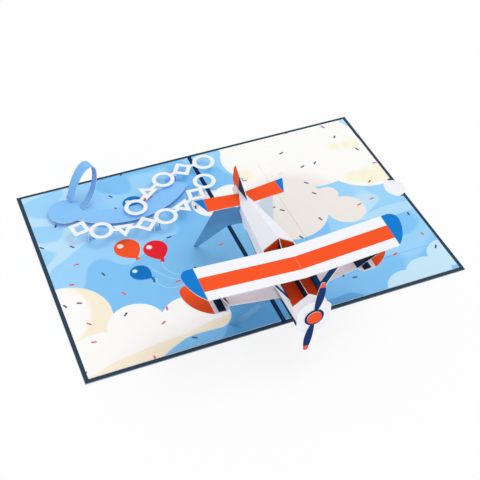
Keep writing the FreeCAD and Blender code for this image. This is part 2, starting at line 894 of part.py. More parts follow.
upper_plan = symmetric([
    (0, -d.upper_front),
    (d.upper_straight, -d.upper_front),
    Arc(d.upper_half, -(d.upper_back + d.upper_corner), d.upper_tip_radius),
    Arc(d.upper_half - d.upper_corner, -d.upper_back, d.upper_corner),
    (0, -d.upper_back),
])
along_wing = (0, 1, d.upper_pitch)
upper_front_view = upper_profile(0, d.paper, d.upper_half + MARGIN)
upper_slab = prism("upper_slab", "XZ", upper_front_view, along_wing, 0.0, REACH)
upper_outline = prism("upper_outline", "XY", upper_plan, (0, 0, 1), REACH)
keep(common("upper_wing", upper_slab, upper_outline), "upper_wing")


# The struts: flat plates outboard, and brackets that fold outward over the cockpit's sills

over_view = upper_profile(-d.face_gap, d.strut_rise, d.upper_half)
over_wing = prism("over_wing", "XZ", over_view, along_wing, 0.0, REACH)
under_view = lower_profile(-d.strut_rise, d.paper + d.face_gap)
under_wing = prism("under_wing", "XZ", under_view, (0, 1, 0), REACH, REACH)

# Each bracket is one sheet: a flap inside the wall, a low web along the sill, and a strut to the wing
along_sill = (0, -1, -drop)
sill_start = sill_front + drop * d.cockpit_front
fold_z = sill_start + d.face_gap
head_z = d.bracket_top + drop * d.bracket_front
strut_back = d.bracket_front - d.bracket_chord
flap_foot = d.cockpit_floor + d.paper + d.face_gap
lip = d.paper * root(1 + d.deck_slope * d.deck_slope) / d.deck_slope
flap_out = d.body_half - lip - d.face_gap
flap_in = flap_out - d.paper
bracket_side = [
    (-d.bracket_front, flap_foot),
    (-d.bracket_back, flap_foot),
    (-d.bracket_back, sill_start - drop * d.bracket_back + d.bracket_web),
    (-strut_back, sill_start - drop * strut_back + d.bracket_web),
    (-strut_back, head_z),
    (-d.bracket_front, head_z),
]
bracket_trim = prism("bracket_trim", "YZ", bracket_side, (1, 0, 0), REACH, REACH)

strut_foot_z = d.lower_z + d.lower_rise * d.lower_crease + d.paper
strut_head_z = strut_foot_z + d.strut_rise

# Each strut is drawn longer than it is by a tenth at both ends, and then trimmed by the wings
OVERRUN = 0.1
lean_x = d.strut_top - d.lower_crease
strut_through = d.paper * root(1 + lean_x * lean_x / (d.strut_rise * d.strut_rise))
low_x = d.lower_crease - lean_x * OVERRUN
high_x = d.strut_top + lean_x * OVERRUN
low_y = d.strut_lean * OVERRUN - d.lower_jog
high_y = -d.lower_jog - d.strut_lean * (1 + OVERRUN)
low_z = strut_foot_z - d.strut_rise * OVERRUN
high_z = strut_head_z + d.strut_rise * OVERRUN
for side, hand in ((-1, "left"), (1, "right")):
    strut_front_view = [
        (side * low_x, low_z),
        (side * (low_x + strut_through), low_z),
        (side * (high_x + strut_through), high_z),
        (side * high_x, high_z),
    ]
    strut_shadow = [
        (high_y, high_z),
        (low_y, low_z),
        (low_y + d.strut_chord, low_z),
        (high_y + d.strut_chord, high_z),
    ]
    strip = prism(f"strut_strip_{hand}", "XZ", strut_front_view, (0, 1, 0), REACH, REACH)
    shadow = prism(f"strut_side_{hand}", "YZ", strut_shadow, (1, 0, 0), REACH, REACH)
    plate = common(f"strut_plate_{hand}", strip, shadow)
    above = cut(f"strut_above_{hand}", plate, under_wing)
    keep(cut(f"interplane_strut_{hand}", above, over_wing), f"interplane_strut_{hand}")

    bracket_view = [
        (side * flap_in, d.cockpit_floor),
        (side * flap_out, d.cockpit_floor),
        (side * flap_out, fold_z),
        (side * (d.bracket_out + d.paper), head_z),
        (side * d.bracket_out, head_z + d.bracket_slant),
        (side * flap_in, fold_z + d.bracket_fold),
    ]
    folded = prism(f"bracket_fold_{hand}", "XZ", bracket_view, along_sill, REACH)
    trimmed = common(f"bracket_sheet_{hand}", folded, bracket_trim)
    keep(cut(f"cabane_bracket_{hand}", trimmed, over_wing), f"cabane_bracket_{hand}")


# The nose plate, and the propeller that turns between the hub cap and the washer

nose_side = root(d.nose_radius * d.nose_radius - d.nose_half * d.nose_half)
nose_plate = new_body("nose_plate")
nose_outline = [
    Arc(d.nose_half, d.hub_z - nose_side, d.nose_radius),
    (d.nose_half, d.hub_z + nose_side),
    Arc(-d.nose_half, d.hub_z + nose_side, d.nose_radius),
    (-d.nose_half, d.hub_z - nose_side),
]
hole_radius = d.shank_radius + d.slit_clear
pad(nose_plate, "XZ_Plane", [nose_outline], d.paper, d.nose_face - d.paper)
pocket(nose_plate, "XZ_Plane", [(0, d.hub_z, hole_radius)], d.paper, d.nose_face)
keep(nose_plate, "nose_plate")

propeller = new_body("propeller")
blade_start = root(d.hub_radius * d.hub_radius - d.blade_root * d.blade_root)
blade_end = d.blade_length - d.blade_tip
hub_and_blades = [
    Arc(d.blade_root, blade_start, d.hub_radius),
    Arc(d.blade_tip, blade_end, d.blade_bow),
    Arc(0, d.blade_length, d.blade_tip),
    Arc(-d.blade_tip, blade_end, d.blade_tip),
    Arc(-d.blade_root, blade_start, d.blade_bow_back),
    Arc(-d.blade_root, -blade_start, d.hub_radius),
    Arc(-d.blade_tip, -blade_end, d.blade_bow),
    Arc(0, -d.blade_length, d.blade_tip),
    Arc(d.blade_tip, -blade_end, d.blade_tip),
    Arc(d.blade_root, -blade_start, d.blade_bow_back),
]
propeller_back = d.nose_face + d.running_gap
running_hole = d.shank_radius + d.shank_clear
pad(propeller, "XZ_Plane", [hub_and_blades], d.paper, propeller_back)
pocket(propeller, "XZ_Plane", [(0, 0, running_hole)], d.paper, propeller_back + d.paper)
propeller.Placement = FreeCAD.Placement(
    FreeCAD.Vector(0, 0, d.hub_z.value),
    FreeCAD.Rotation(FreeCAD.Vector(0, 1, 0), d.blade_turn.value),
)
bind(propeller, ".Placement.Base.z", d.hub_z)
keep(propeller, "propeller")

cap_back = propeller_back + d.paper + d.running_gap
washer_front = d.nose_face - d.paper
hub_cap = new_body("hub_cap")
pad(hub_cap, "XZ_Plane", [(0, d.hub_z, d.cap_radius)], d.paper, cap_back)
shank_start = washer_front - d.paper
pad(hub_cap, "XZ_Plane", [(0, d.hub_z, d.shank_radius)], cap_back - shank_start, shank_start)
keep(hub_cap, "hub_cap")

hub_washer = new_body("hub_washer")
pad(hub_washer, "XZ_Plane", [(0, d.hub_z, d.washer_radius)], d.paper, washer_front - d.paper)
pocket(hub_washer, "XZ_Plane", [(0, d.hub_z, hole_radius)], d.paper, washer_front)
keep(hub_washer, "hub_washer")


# The trail ribbon, its standing loop and the two garland rows

def sector(name, x, y, z, radius, width, start, sweep):
    """A flat arc of paper about a centre."""
    outer = doc.addObject("Part::Cylinder", f"{name}_outer")
    inner = doc.addObject("Part::Cylinder", f"{name}_inner")
    bind(outer, "Radius", radius + width / 2)
    bind(inner, "Radius", radius - width / 2)
    bind(outer, "Angle", sweep)
    for item in (outer, inner):
        bind(item, "Height", d.paper)
        item.Placement.Rotation = FreeCAD.Rotation(FreeCAD.Vector(0, 0, 1), start.value)
        bind(item, ".Placement.Base.x", x)
        bind(item, ".Placement.Base.y", y)
        bind(item, ".Placement.Base.z", z)
    return cut(name, outer, inner)


def disc(name, x, y, z, radius, sides=0):
    """A flat disc, or a flat figure of equal sides if a number of them is given."""
    if sides:
        item = doc.addObject("Part::Prism", name)
        item.Polygon = sides
        bind(item, "Circumradius", radius)
    else:
        item = doc.addObject("Part::Cylinder", name)
        bind(item, "Radius", radius)
    bind(item, "Height", d.paper)
    bind(item, ".Placement.Base.x", x)
    bind(item, ".Placement.Base.y", y)
    bind(item, ".Placement.Base.z", z)
    return item


band = sector(
    "band_arc",
    d.smile_x,
    d.smile_y,
    d.ribbon_z,
    d.ribbon_radius,
    d.ribbon_wide,
    d.ribbon_start,
    d.ribbon_sweep,
)
band_end = disc("band_end", d.ribbon_end_x, d.ribbon_end_y, d.ribbon_z, d.ribbon_end_radius)
keep(fuse("ribbon_band", [band, band_end]), "ribbon_band")

ribbon_top = d.ribbon_z + d.paper
loop = new_body("loop_strip")
foot = d.loop_base / 2
inner_foot = foot - d.paper
inner_belly = d.loop_belly - d.paper
inner_top = d.loop_top - d.paper
inner_crown = d.paper - d.loop_crown_bow
loop_outline = [
    (foot, -d.loop_sink),
    Arc(d.loop_belly, d.loop_belly_z, d.loop_side_bow),
    Arc(0, d.loop_top, d.loop_crown_bow),
    Arc(-d.loop_belly, d.loop_belly_z, d.loop_crown_bow),
    Arc(-foot, -d.loop_sink, d.loop_side_bow),
    (-inner_foot, -d.loop_sink),
    Arc(-inner_belly, d.loop_belly_z, -d.loop_side_bow),
    Arc(0, inner_top, inner_crown),
    Arc(inner_belly, d.loop_belly_z, inner_crown),
    Arc(inner_foot, -d.loop_sink, -d.loop_side_bow),
]
pad(loop, "XZ_Plane", [loop_outline], d.loop_wide, 0.0, True)
loop_x = d.smile_x + (d.ribbon_radius - d.loop_in) * cosine(d.loop_angle)
loop_y = d.smile_y + (d.ribbon_radius - d.loop_in) * sine(d.loop_angle)
loop.Placement = FreeCAD.Placement(
    FreeCAD.Vector(loop_x.value, loop_y.value, ribbon_top.value),
    FreeCAD.Rotation(FreeCAD.Vector(0, 0, 1), d.loop_turn.value).multiply(
        FreeCAD.Rotation(FreeCAD.Vector(0, 1, 0), d.loop_lean.value)
    ),
)
floor_plan = rectangle(-half_width, 0, 0, half_depth)
loop_floor = prism("loop_floor", "XY", floor_plan, (0, 0, 1), ribbon_top + d.face_gap)
keep(cut("ribbon_loop", loop, loop_floor), "ribbon_loop")


def step_angle(step, radius):
    """The angle of one step along an arc."""
    return step / radius * HALF_TURN / math.pi


def garland(node, x, y, radius, start, step, z, figures):
    """One row: open figures a step apart on a string of paper, all cut as one sheet."""
    turn_step = step_angle(step, radius)
    sweep = turn_step * (len(figures) - 1)
    wholes = [sector(f"{node}_string", x, y, z, radius, d.garland_string, start, sweep)]
    windows = []
    for index, sides in enumerate(figures):
        angle = start + turn_step * index
        place_x = x + radius * cosine(angle)
        place_y = y + radius * sine(angle)
        whole = disc(f"{node}_whole_{index}", place_x, place_y, z, d.garland_shape, sides)
        open_radius = d.garland_shape - (d.garland_stroke / math.cos(math.pi / sides) if sides else d.garland_stroke)
        window = disc(f"{node}_window_{index}", place_x, place_y, z, open_radius, sides)
        turn = FreeCAD.Rotation(FreeCAD.Vector(0, 0, 1), angle.value)
        whole.Placement.Rotation = turn
        window.Placement.Rotation = turn
        wholes.append(whole)
        windows.append(window)
    return keep(cut(node, fuse(f"{node}_sheet", wholes), fuse(f"{node}_windows", windows)), node)


ROUND = 0
garland(
    "garland_lower",
    d.smile_x,
    d.smile_y,
    d.smile_radius,
    d.smile_start,
    d.smile_step,
    d.smile_z,
    [4, ROUND, 3, 4, ROUND, 3, 4, ROUND],
)
garland(
    "garland_upper",
    d.crest_x,
    d.crest_y,
    d.crest_radius,
    d.crest_start,
    d.crest_step,
    d.crest_z,
    [ROUND, 4, ROUND, 3, ROUND],
)


# Risers: small folded bridges that hold the ribbon and the garland rows off the liner

def riser_bridge(node, x, y, top):
    """A strip folded into a bridge that stands on the left liner."""
    body = new_body(node)
    long = d.riser_long / 2
    bridge = [
        (-long, liner_top),
        (-long + d.paper, liner_top),
        (-long + d.paper, top - d.paper - clear),
        (long - d.paper, top - d.paper - clear),
        (long - d.paper, liner_top),
        (long, liner_top),
        (long, top - clear),
        (-long, top - clear),
    ]
    pad(body, "XZ_Plane", [bridge], d.riser_wide, 0.0, True)
    bind(body, ".Placement.Base.x", x)
    bind(body, ".Placement.Base.y", y)
    return keep(body, node)


def on_arc(centre_x, centre_y, radius, angle):
    """A place on an arc."""
    return centre_x + radius * cosine(angle), centre_y + radius * sine(angle)


def between(radius, start, step, index):
    """The angle halfway between one figure of a row and the next."""
    return start + step_angle(step, radius) * (index + 0.5)


ribbon_middle = d.ribbon_start + d.ribbon_sweep / 2
smile = (d.smile_x, d.smile_y, d.smile_radius)
crest = (d.crest_x, d.crest_y, d.crest_radius)
RISERS = {
    "ribbon_riser_left": ((d.ribbon_end_x, d.ribbon_end_y), d.ribbon_z),
    "ribbon_riser_middle": (on_arc(d.smile_x, d.smile_y, d.ribbon_radius, ribbon_middle), d.ribbon_z),
    "garland_riser_left": (on_arc(*smile, between(d.smile_radius, d.smile_start, d.smile_step, 0)), d.smile_z),
    "garland_riser_middle": (on_arc(*smile, between(d.smile_radius, d.smile_start, d.smile_step, 3)), d.smile_z),
    "garland_riser_right": (on_arc(*smile, between(d.smile_radius, d.smile_start, d.smile_step, 6)), d.smile_z),
    "crest_riser": (on_arc(*crest, between(d.crest_radius, d.crest_start, d.crest_step, 1)), d.crest_z),
}
for node, ((x, y), top) in RISERS.items():
    riser_bridge(node, x, y, top)


# Every object is checked before the files are written

doc.recompute()
for item in doc.Objects:
    if "Invalid" in item.State or "Error" in item.State:
        raise RuntimeError(f"{item.Name} failed: {item.State}")

os.makedirs("parts", exist_ok=True)
for item in nodes:
    shape = item.Shape
    if shape.isNull() or not shape.isValid() or not shape.Solids:
        raise RuntimeError(f"{item.Label} has no valid solid")
    shape.exportStep(os.path.join("parts", f"{item.Label}.step"))
    box = shape.BoundBox
    print(f"{item.Label}: {len(shape.Solids)} solid, {shape.Volume:.1f} mm3")
    print(f"  x {box.XMin:.1f}..{box.XMax:.1f}, y {box.YMin:.1f}..{box.YMax:.1f}, z {box.ZMin:.2f}..{box.ZMax:.2f}")
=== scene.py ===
"""Pop up card: the looks of an open card with a folded paper biplane, built round its fixed frame."""

import logging
import math
from dataclasses import dataclass, field
from enum import Enum

import bpy
from mathutils import Matrix, Vector


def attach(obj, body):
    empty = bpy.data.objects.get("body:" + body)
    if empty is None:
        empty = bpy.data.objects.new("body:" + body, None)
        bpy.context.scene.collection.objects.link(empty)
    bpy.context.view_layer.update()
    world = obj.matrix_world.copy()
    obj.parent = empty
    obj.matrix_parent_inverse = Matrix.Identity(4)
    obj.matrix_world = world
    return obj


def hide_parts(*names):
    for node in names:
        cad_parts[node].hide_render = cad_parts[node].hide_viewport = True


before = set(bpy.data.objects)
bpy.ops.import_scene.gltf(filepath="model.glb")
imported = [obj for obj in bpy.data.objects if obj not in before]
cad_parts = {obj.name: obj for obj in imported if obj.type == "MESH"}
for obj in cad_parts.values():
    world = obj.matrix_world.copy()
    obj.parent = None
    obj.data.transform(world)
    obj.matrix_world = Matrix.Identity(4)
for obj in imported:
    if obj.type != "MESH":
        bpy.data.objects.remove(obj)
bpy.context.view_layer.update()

logging.basicConfig(level=logging.INFO, format="%(message)s")
log = logging.getLogger("pop_up_card")

Socket = bpy.types.NodeSocket
Colour = tuple[float, float, float, float]
Point = tuple[float, float]
Circle = tuple[float, float, float]
MILLIMETRE = 0.001
MICROMETRE = 1e-6
PER_METRE = 1000.0
# The width in millimetres over which two inks meet
INK_BLUR = 0.12
# How squarely a printed face looks along one of its sheet's normals, and how softly that ends
FACE_COSINE = 0.9
FACE_BLUR = 0.02
# What a place is multiplied by to leave its height out
FLAT_ONLY = (1.0, 1.0, 0.0)


def linear(code: str) -> Colour:
    """Turns a printed colour into the renderer's linear colour.

    Args:
        code: six hexadecimal digits.

    Returns:
        Red, green, blue and alpha.
    """
    parts = [int(code[index:index + 2], 16) / 255 for index in (0, 2, 4)]
    light = [part / 12.92 if part <= 0.04045 else ((part + 0.055) / 1.055) ** 2.4 for part in parts]
    return (light[0], light[1], light[2], 1.0)


class Ink(Enum):
    """The printing inks and paper stocks of the card."""

    COVER_NAVY = "2f4558"
    WORN_NAVY = "5d7183"
    LINE_NAVY = "0b2247"
    BLADE_NAVY = "06306c"
    SKY = "83c7f8"
    SKY_LIGHT = "9ed7fd"
    SKY_WISP = "bfe6fd"
    SKY_DEEP = "64ade3"
    CLOUD = "fffefb"
    CREAM = "fdf1da"
    CREAM_LIGHT = "fdf7d6"
    SKY_PALE = "c9ebfc"
    BEIGE = "f3ede7"
    ORANGE = "fb5521"
    CORAL = "e8604e"
    RED = "ec1c2d"
    TIP_BLUE = "007cd2"
    BALLOON_BLUE = "0273c4"
    STRUT_BLUE = "0b5490"
    PLUM = "6a3f86"
    SLATE = "42536a"
    STOCK_WHITE = "f6f7fc"
    LAVENDER_WHITE = "f4f5fc"
    RIBBON_BLUE = "87c4fa"
    RIBBON_LIGHT = "93ccfc"
    CORE_WHITE = "f4f2ee"
    FOLD_NAVY = "12325a"
    SUPPORT_BLUE = "6fa7d2"
    SUPPORT_DEEP = "5d93c0"
    RIBBON_SHADE = "7fb0ea"
    INSIDE_ORANGE = "e04a14"

    @property
    def colour(self) -> Colour:
        """The ink as a linear colour."""
        return linear(self.value)


class Facing(Enum):
    """The unit normals of a sheet's printed faces. Any other face is a cut edge."""

    FLAT = ((0.0, 0.0, 1.0),)
    UPRIGHT_ALONG = ((1.0, 0.0, 0.0),)
    UPRIGHT_ACROSS = ((0.0, 1.0, 0.0),)
    SHELL = ((1.0, 0.0, 0.0), (0.56, 0.0, 0.83), (-0.56, 0.0, 0.83))
    V_FOLD = ((0.371, -0.887, -0.274), (-0.371, -0.887, -0.274), (0.0, 0.0, 1.0))
    STRUT_LEFT = ((0.922, 0.0, 0.387),)
    STRUT_RIGHT = ((0.922, 0.0, -0.387),)
    BRACKET_LEFT = ((0.728, 0.0, 0.685), (1.0, 0.0, 0.0))
    BRACKET_RIGHT = ((0.728, 0.0, -0.685), (1.0, 0.0, 0.0))
    RISER = ((0.0, 0.0, 1.0), (1.0, 0.0, 0.0))


class Sheet:
    """One printed sheet's material: a node tree that is drawn on in millimetres."""

    def __init__(self, name: str) -> None:
        """Starts an empty material.

        Args:
            name: the material's name.
        """
        self.material = bpy.data.materials.new(name)
        self.material.use_nodes = True
        self.nodes = self.material.node_tree.nodes
        self.links = self.material.node_tree.links
        self.nodes.clear()
        self.output = self.nodes.new("ShaderNodeOutputMaterial")
        self.coordinates = self.nodes.new("ShaderNodeTexCoord")
        self.place = self.vector("MULTIPLY", self.coordinates.outputs["Object"], (PER_METRE,) * 3)
        split = self.nodes.new("ShaderNodeSeparateXYZ")
        self.links.new(self.place, split.inputs[0])
        self.x, self.y, self.z = split.outputs

    def _feed(self, socket: Socket, item: Socket | float | tuple) -> None:
        """Links a socket, or sets it to a constant.

        Args:
            socket: the socket that is fed.
            item: the socket that feeds it, or the constant.
        """
        if isinstance(item, bpy.types.NodeSocket):
            self.links.new(item, socket)
        else:
            socket.default_value = item

    def number(self, operation: str, *items: Socket | float, clamp: bool = False) -> Socket:
        """Adds one sum.

        Args:
            operation: the sum's name.
            items: its numbers or sockets.
            clamp: whether the result is kept from 0 to 1.

        Returns:
            The result.
        """
        node = self.nodes.new("ShaderNodeMath")
        node.operation = operation
        node.use_clamp = clamp
        for socket, item in zip(node.inputs, items):
            self._feed(socket, item)
        return node.outputs[0]

    def vector(self, operation: str, *items: Socket | tuple) -> Socket:
        """Adds one vector sum.

        Args:
            operation: the sum's name.
            items: its vectors or sockets.

        Returns:
            The result.
        """
        node = self.nodes.new("ShaderNodeVectorMath")
        node.operation = operation
        for socket, item in zip(node.inputs, items):
            self._feed(socket, item)
        return node.outputs["Value"] if operation in ("DISTANCE", "DOT_PRODUCT") else node.outputs[0]

    def past(self, item: Socket, edge: float, soft: float = INK_BLUR) -> Socket:
        """Gives 1 where a value is past an edge and 0 before it."""
        return self.number("MULTIPLY_ADD", item, 1.0 / soft, 0.5 - edge / soft, clamp=True)

    def within(self, item: Socket, low: float, high: float, soft: float = INK_BLUR) -> Socket:
        """Gives 1 where a value lies between two edges."""
        below = self.number("MULTIPLY_ADD", item, -1.0 / soft, 0.5 + high / soft, clamp=True)
        return self.number("MULTIPLY", self.past(item, low, soft), below)

    def both(self, first: Socket, second: Socket) -> Socket:
        """Gives 1 where two masks are both 1."""
        return self.number("MULTIPLY", first, second)

    def either(self, first: Socket, second: Socket) -> Socket:
        """Gives 1 where one of two masks is 1."""
        return self.number("MAXIMUM", first, second)

    def other(self, mask: Socket) -> Socket:
        """Gives 1 where a mask is 0."""
        return self.number("SUBTRACT", 1.0, mask)

    def paint(self, base: Socket | Colour, ink: Socket | Colour, mask: Socket | float) -> Socket:
        """Lays one ink over another where a mask is 1.

        Args:
            base: the colour below.
            ink: the colour above.
            mask: where the colour above shows.

        Returns:
            The mixed colour.
        """
        node = self.nodes.new("ShaderNodeMix")
        node.data_type = "RGBA"
        colours = [socket for socket in node.inputs if socket.type == "RGBA"]
        self._feed(node.inputs[0], mask)
        self._feed(colours[0], base)
        self._feed(colours[1], ink)
        return [socket for socket in node.outputs if socket.type == "RGBA"][0]

    def noise(self, size: float, detail: float = 2.0, place: Socket | None = None) -> Socket:
        """Gives cloudy variation from 0 to 1.

        Args:
            size: the size of its features in millimetres.
            detail: how many finer layers it has.
            place: the coordinates that it reads, the sheet's own if none are given.

        Returns:
            The variation.
        """
        node = self.nodes.new("ShaderNodeTexNoise")
        self._feed(node.inputs["Vector"], place or self.place)
        node.inputs["Scale"].default_value = 1.0 / size
        node.inputs["Detail"].default_value = detail
        return node.outputs[0]

    def lobes(self, circles: list[Circle], blend: float = 0.0) -> Socket:
        """Gives how far inside a group of circles a point lies.

        Args:
            circles: centre x, centre y and radius of each.
            blend: the width over which they melt together.

        Returns:
            Millimetres, positive inside.
        """
        depth = None
        flat = self.vector("MULTIPLY", self.place, FLAT_ONLY)
        for x, y, radius in circles:
            away = self.vector("DISTANCE", flat, (x, y, 0.0))
            inside = self.number("SUBTRACT", radius, away)
            if depth is None:
                depth = inside
            elif blend:
                depth = self.number("SMOOTH_MAX", depth, inside, blend)
            else:
                depth = self.number("MAXIMUM", depth, inside)
        return depth

    def cut_edge(self, facing: Facing) -> Socket:
        """Gives 1 on the sheet's cut edges, told by the normals of its faces.

        Args:
            facing: the normals of its printed faces.

        Returns:
            The mask.
        """
        normal = self.coordinates.outputs["Normal"]
        most = None
        for direction in facing.value:
            along = self.number("ABSOLUTE", self.vector("DOT_PRODUCT", normal, direction))
            most = along if most is None else self.number("MAXIMUM", most, along)
        return self.other(self.past(most, FACE_COSINE, FACE_BLUR))


@dataclass(frozen=True)
class PaperFinish:
    """How a sheet of card or paper takes the light.

    Attributes:
        roughness: the mean roughness of its face.
        tooth: the depth of its fibre in micrometres.
        cockle: the depth of its slow waves in micrometres.
        mottle: how much its ink varies.
        sheen: the strength of its coating's highlight.
        cloud_size: the size of the mottle's features in millimetres.
        fibre_size: the size of the fibre's features.
        wave_size: the size of the slow waves.
        gloss_range: how much the fibre changes the roughness.
    """

    roughness: float = 0.62
    tooth: float = 14.0
    cockle: float = 60.0
    mottle: float = 0.05
    sheen: float = 0.32
    cloud_size: float = 9.0
    fibre_size: float = 0.35
    wave_size: float = 34.0
    gloss_range: float = 0.16

    def close(
        self,
        sheet: Sheet,
        ink: Socket | Colour,
        edge: Socket,
        core: Ink = Ink.CORE_WHITE,
    ) -> bpy.types.Material:
        """Finishes a material: cut edges, mottled ink, fibre and slow waves.

        Args:
            sheet: the material under way.
            ink: its printed colour.
            edge: 1 where the sheet is cut.
            core: the colour of the cut edge.

        Returns:
            The finished material.
        """
        cloudy = sheet.noise(self.cloud_size, detail=4.0)
        fibre = sheet.noise(self.fibre_size, detail=3.0)
        darkest = 1.0 - self.mottle / 2
        shade = sheet.number("MULTIPLY_ADD", cloudy, self.mottle, darkest)
        grain = sheet.number("MULTIPLY_ADD", fibre, self.mottle, darkest)
        face = sheet.paint(ink, core.colour, edge)
        combined = sheet.number("MULTIPLY", shade, grain)
        shaded = sheet.vector("SCALE", face)
        sheet.links.new(combined, shaded.node.inputs["Scale"])
        shader = sheet.nodes.new("ShaderNodeBsdfPrincipled")
        sheet.links.new(shaded, shader.inputs["Base Color"])
        smoothest = self.roughness - self.gloss_range / 2
        rough = sheet.number("MULTIPLY_ADD", fibre, self.gloss_range, smoothest, clamp=True)
        sheet.links.new(rough, shader.inputs["Roughness"])
        shader.inputs["Specular IOR Level"].default_value = self.sheen
        waves = sheet.noise(self.wave_size, detail=1.0)
        tooth = sheet.number("MULTIPLY", fibre, self.tooth * MICROMETRE)
        height = sheet.number("MULTIPLY_ADD", waves, self.cockle * MICROMETRE, tooth)
        bump = sheet.nodes.new("ShaderNodeBump")
        bump.inputs["Strength"].default_value = 1.0
        bump.inputs["Distance"].default_value = 1.0
        sheet.links.new(height, bump.inputs["Height"])
        sheet.links.new(bump.outputs[0], shader.inputs["Normal"])
        sheet.links.new(shader.outputs[0], sheet.output.inputs[0])
        return sheet.material


COATED = PaperFinish(roughness=0.6, tooth=10.0, cockle=70.0, mottle=0.035, sheen=0.12)
UNCOATED = PaperFinish(roughness=0.8, tooth=26.0, cockle=50.0, mottle=0.09, sheen=0.1)
THIN = PaperFinish(roughness=0.65, tooth=12.0, cockle=45.0, mottle=0.03, sheen=0.12)


def dress(node: str, material: bpy.types.Material) -> None:
    """Gives a frame node its material in every slot.

    Args:
        node: the node's name.
        material: the material.
    """
    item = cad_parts[node]
    if not item.material_slots:
        item.data.materials.append(material)
    for slot in item.material_slots:
        slot.material = material
    log.info("dressed %s", node)


def print_plain(
    node: str,
    ink: Ink,
    facing: Facing,
    paper: PaperFinish = COATED,
    core: Ink = Ink.CORE_WHITE,
) -> None:
    """Prints a frame node in one ink.

    Args:
        node: the node's name.
        ink: its ink.
        facing: the normals of its printed faces.
        paper: its stock.
        core: the colour of its cut edges.
    """
    sheet = Sheet(f"{node}_print")
    dress(node, paper.close(sheet, ink.colour, sheet.cut_edge(facing), core))


@dataclass
class Balloon:
    """A printed balloon.

    Attributes:
        x: its centre in millimetres.
        y: its centre in millimetres.
        radius: the radius of its crown.
        lean: how far its knot lies to the right.
        ink: its colour.
        drop: how far its knot lies below its centre, in radii, as the lengths after it are.
        crown_end: how softly the round crown passes into the longer lower half.
        stretch: how much longer the lower half is than the crown.
        taper: how much the lower half narrows.
        taper_reach: how far down it narrows.
        knot_end: where the knot ends.
        knot_root: where the knot starts, as a point.
        knot_flare: how steeply its sides close in.
        blur: how softly its outline ends.
        glint: the highlight's place to the left and upwards, and its radius.
        glint_blur: how softly the highlight ends, in millimetres.
        glint_ink: how strongly it is printed.
    """

    x: float
    y: float
    radius: float
    lean: float
    ink: Ink
    drop: float = 1.32
    crown_end: float = 0.1
    stretch: float = 0.38
    taper: float = 0.5
    taper_reach: float = 1.4
    knot_end: float = 1.62
    knot_root: float = 1.22
    knot_flare: float = 1.6
    blur: float = 0.02
    glint: Circle = (0.42, 0.36, 0.24)
    glint_blur: float = 0.5
    glint_ink: float = 0.8

    def egg(self, sheet: Sheet) -> Socket:
        """Gives the balloon's outline: an egg that narrows to its knot.

        Args:
            sheet: the sheet that it is printed on.

        Returns:
            A share of its radius, positive inside.
        """
        drop = self.radius * self.drop
        reach = math.hypot(self.lean, drop)
        along = (self.lean / reach, -drop / reach, 0.0)
        across = (-along[1], along[0], 0.0)
        local = sheet.vector("SUBTRACT", sheet.place, (self.x, self.y, 0.0))
        down = sheet.number("DIVIDE", sheet.vector("DOT_PRODUCT", local, along), self.radius)
        side = sheet.number("DIVIDE", sheet.vector("DOT_PRODUCT", local, across), self.radius)
        low = sheet.past(down, self.taper_reach / 2, self.taper_reach)
        taper = sheet.number("MULTIPLY_ADD", sheet.number("MULTIPLY", low, low), -self.taper, 1.0)
        wide = sheet.number("DIVIDE", side, taper)
        length = sheet.number("MULTIPLY_ADD", sheet.past(down, 0.0, self.crown_end), self.stretch, 1.0)
        long = sheet.number("DIVIDE", down, length)
        spread = sheet.number("MULTIPLY_ADD", wide, wide, sheet.number("MULTIPLY", long, long))
        egg = sheet.number("SUBTRACT", 1.0, sheet.number("SQRT", spread))
        knot = sheet.number("SUBTRACT", self.knot_end, down)
        flare = sheet.number("SUBTRACT", down, self.knot_root)
        flare = sheet.number("MULTIPLY_ADD", sheet.number("ABSOLUTE", side), -self.knot_flare, flare)
        return sheet.either(egg, sheet.number("MINIMUM", knot, flare))

    def paint(self, sheet: Sheet, base: Socket) -> Socket:
        """Prints the balloon with its knot and its highlight.

        Args:
            sheet: the sheet that it is printed on.
            base: the print so far.

        Returns:
            The print with the balloon.
        """
        printed = sheet.paint(base, self.ink.colour, sheet.past(self.egg(sheet), 0.0, self.blur))
        left, up, radius = (share * self.radius for share in self.glint)
        glint = sheet.past(sheet.lobes([(self.x - left, self.y + up, radius)]), 0.0, self.glint_blur)
        return sheet.paint(printed, Ink.CLOUD.colour, sheet.number("MULTIPLY", glint, self.glint_ink))


@dataclass
class BalloonString:
    """A printed string: part of a thin circle.

    Attributes:
        circle: its centre and radius.
        x_span: where it is drawn along x.
        y_span: where it is drawn along y.
        stroke: its width in millimetres.
        blur: how softly its sides end.
        strength: how strongly it is printed.
    """

    circle: Circle
    x_span: Point
    y_span: Point
    stroke: float = 0.5
    blur: float = 0.2
    strength: float = 0.7

    def paint(self, sheet: Sheet, base: Socket) -> Socket:
        """Prints the string.

        Args:
            sheet: the sheet that it is printed on.
            base: the print so far.

        Returns:
            The print with the string.
        """
        away = sheet.number("ABSOLUTE", sheet.lobes([self.circle]))
        line = sheet.other(sheet.past(away, self.stroke / 2, self.blur))
        part = sheet.both(sheet.within(sheet.x, *self.x_span), sheet.within(sheet.y, *self.y_span))
        mask = sheet.number("MULTIPLY", sheet.both(line, part), self.strength)
        return sheet.paint(base, Ink.SKY_WISP.colour, mask)


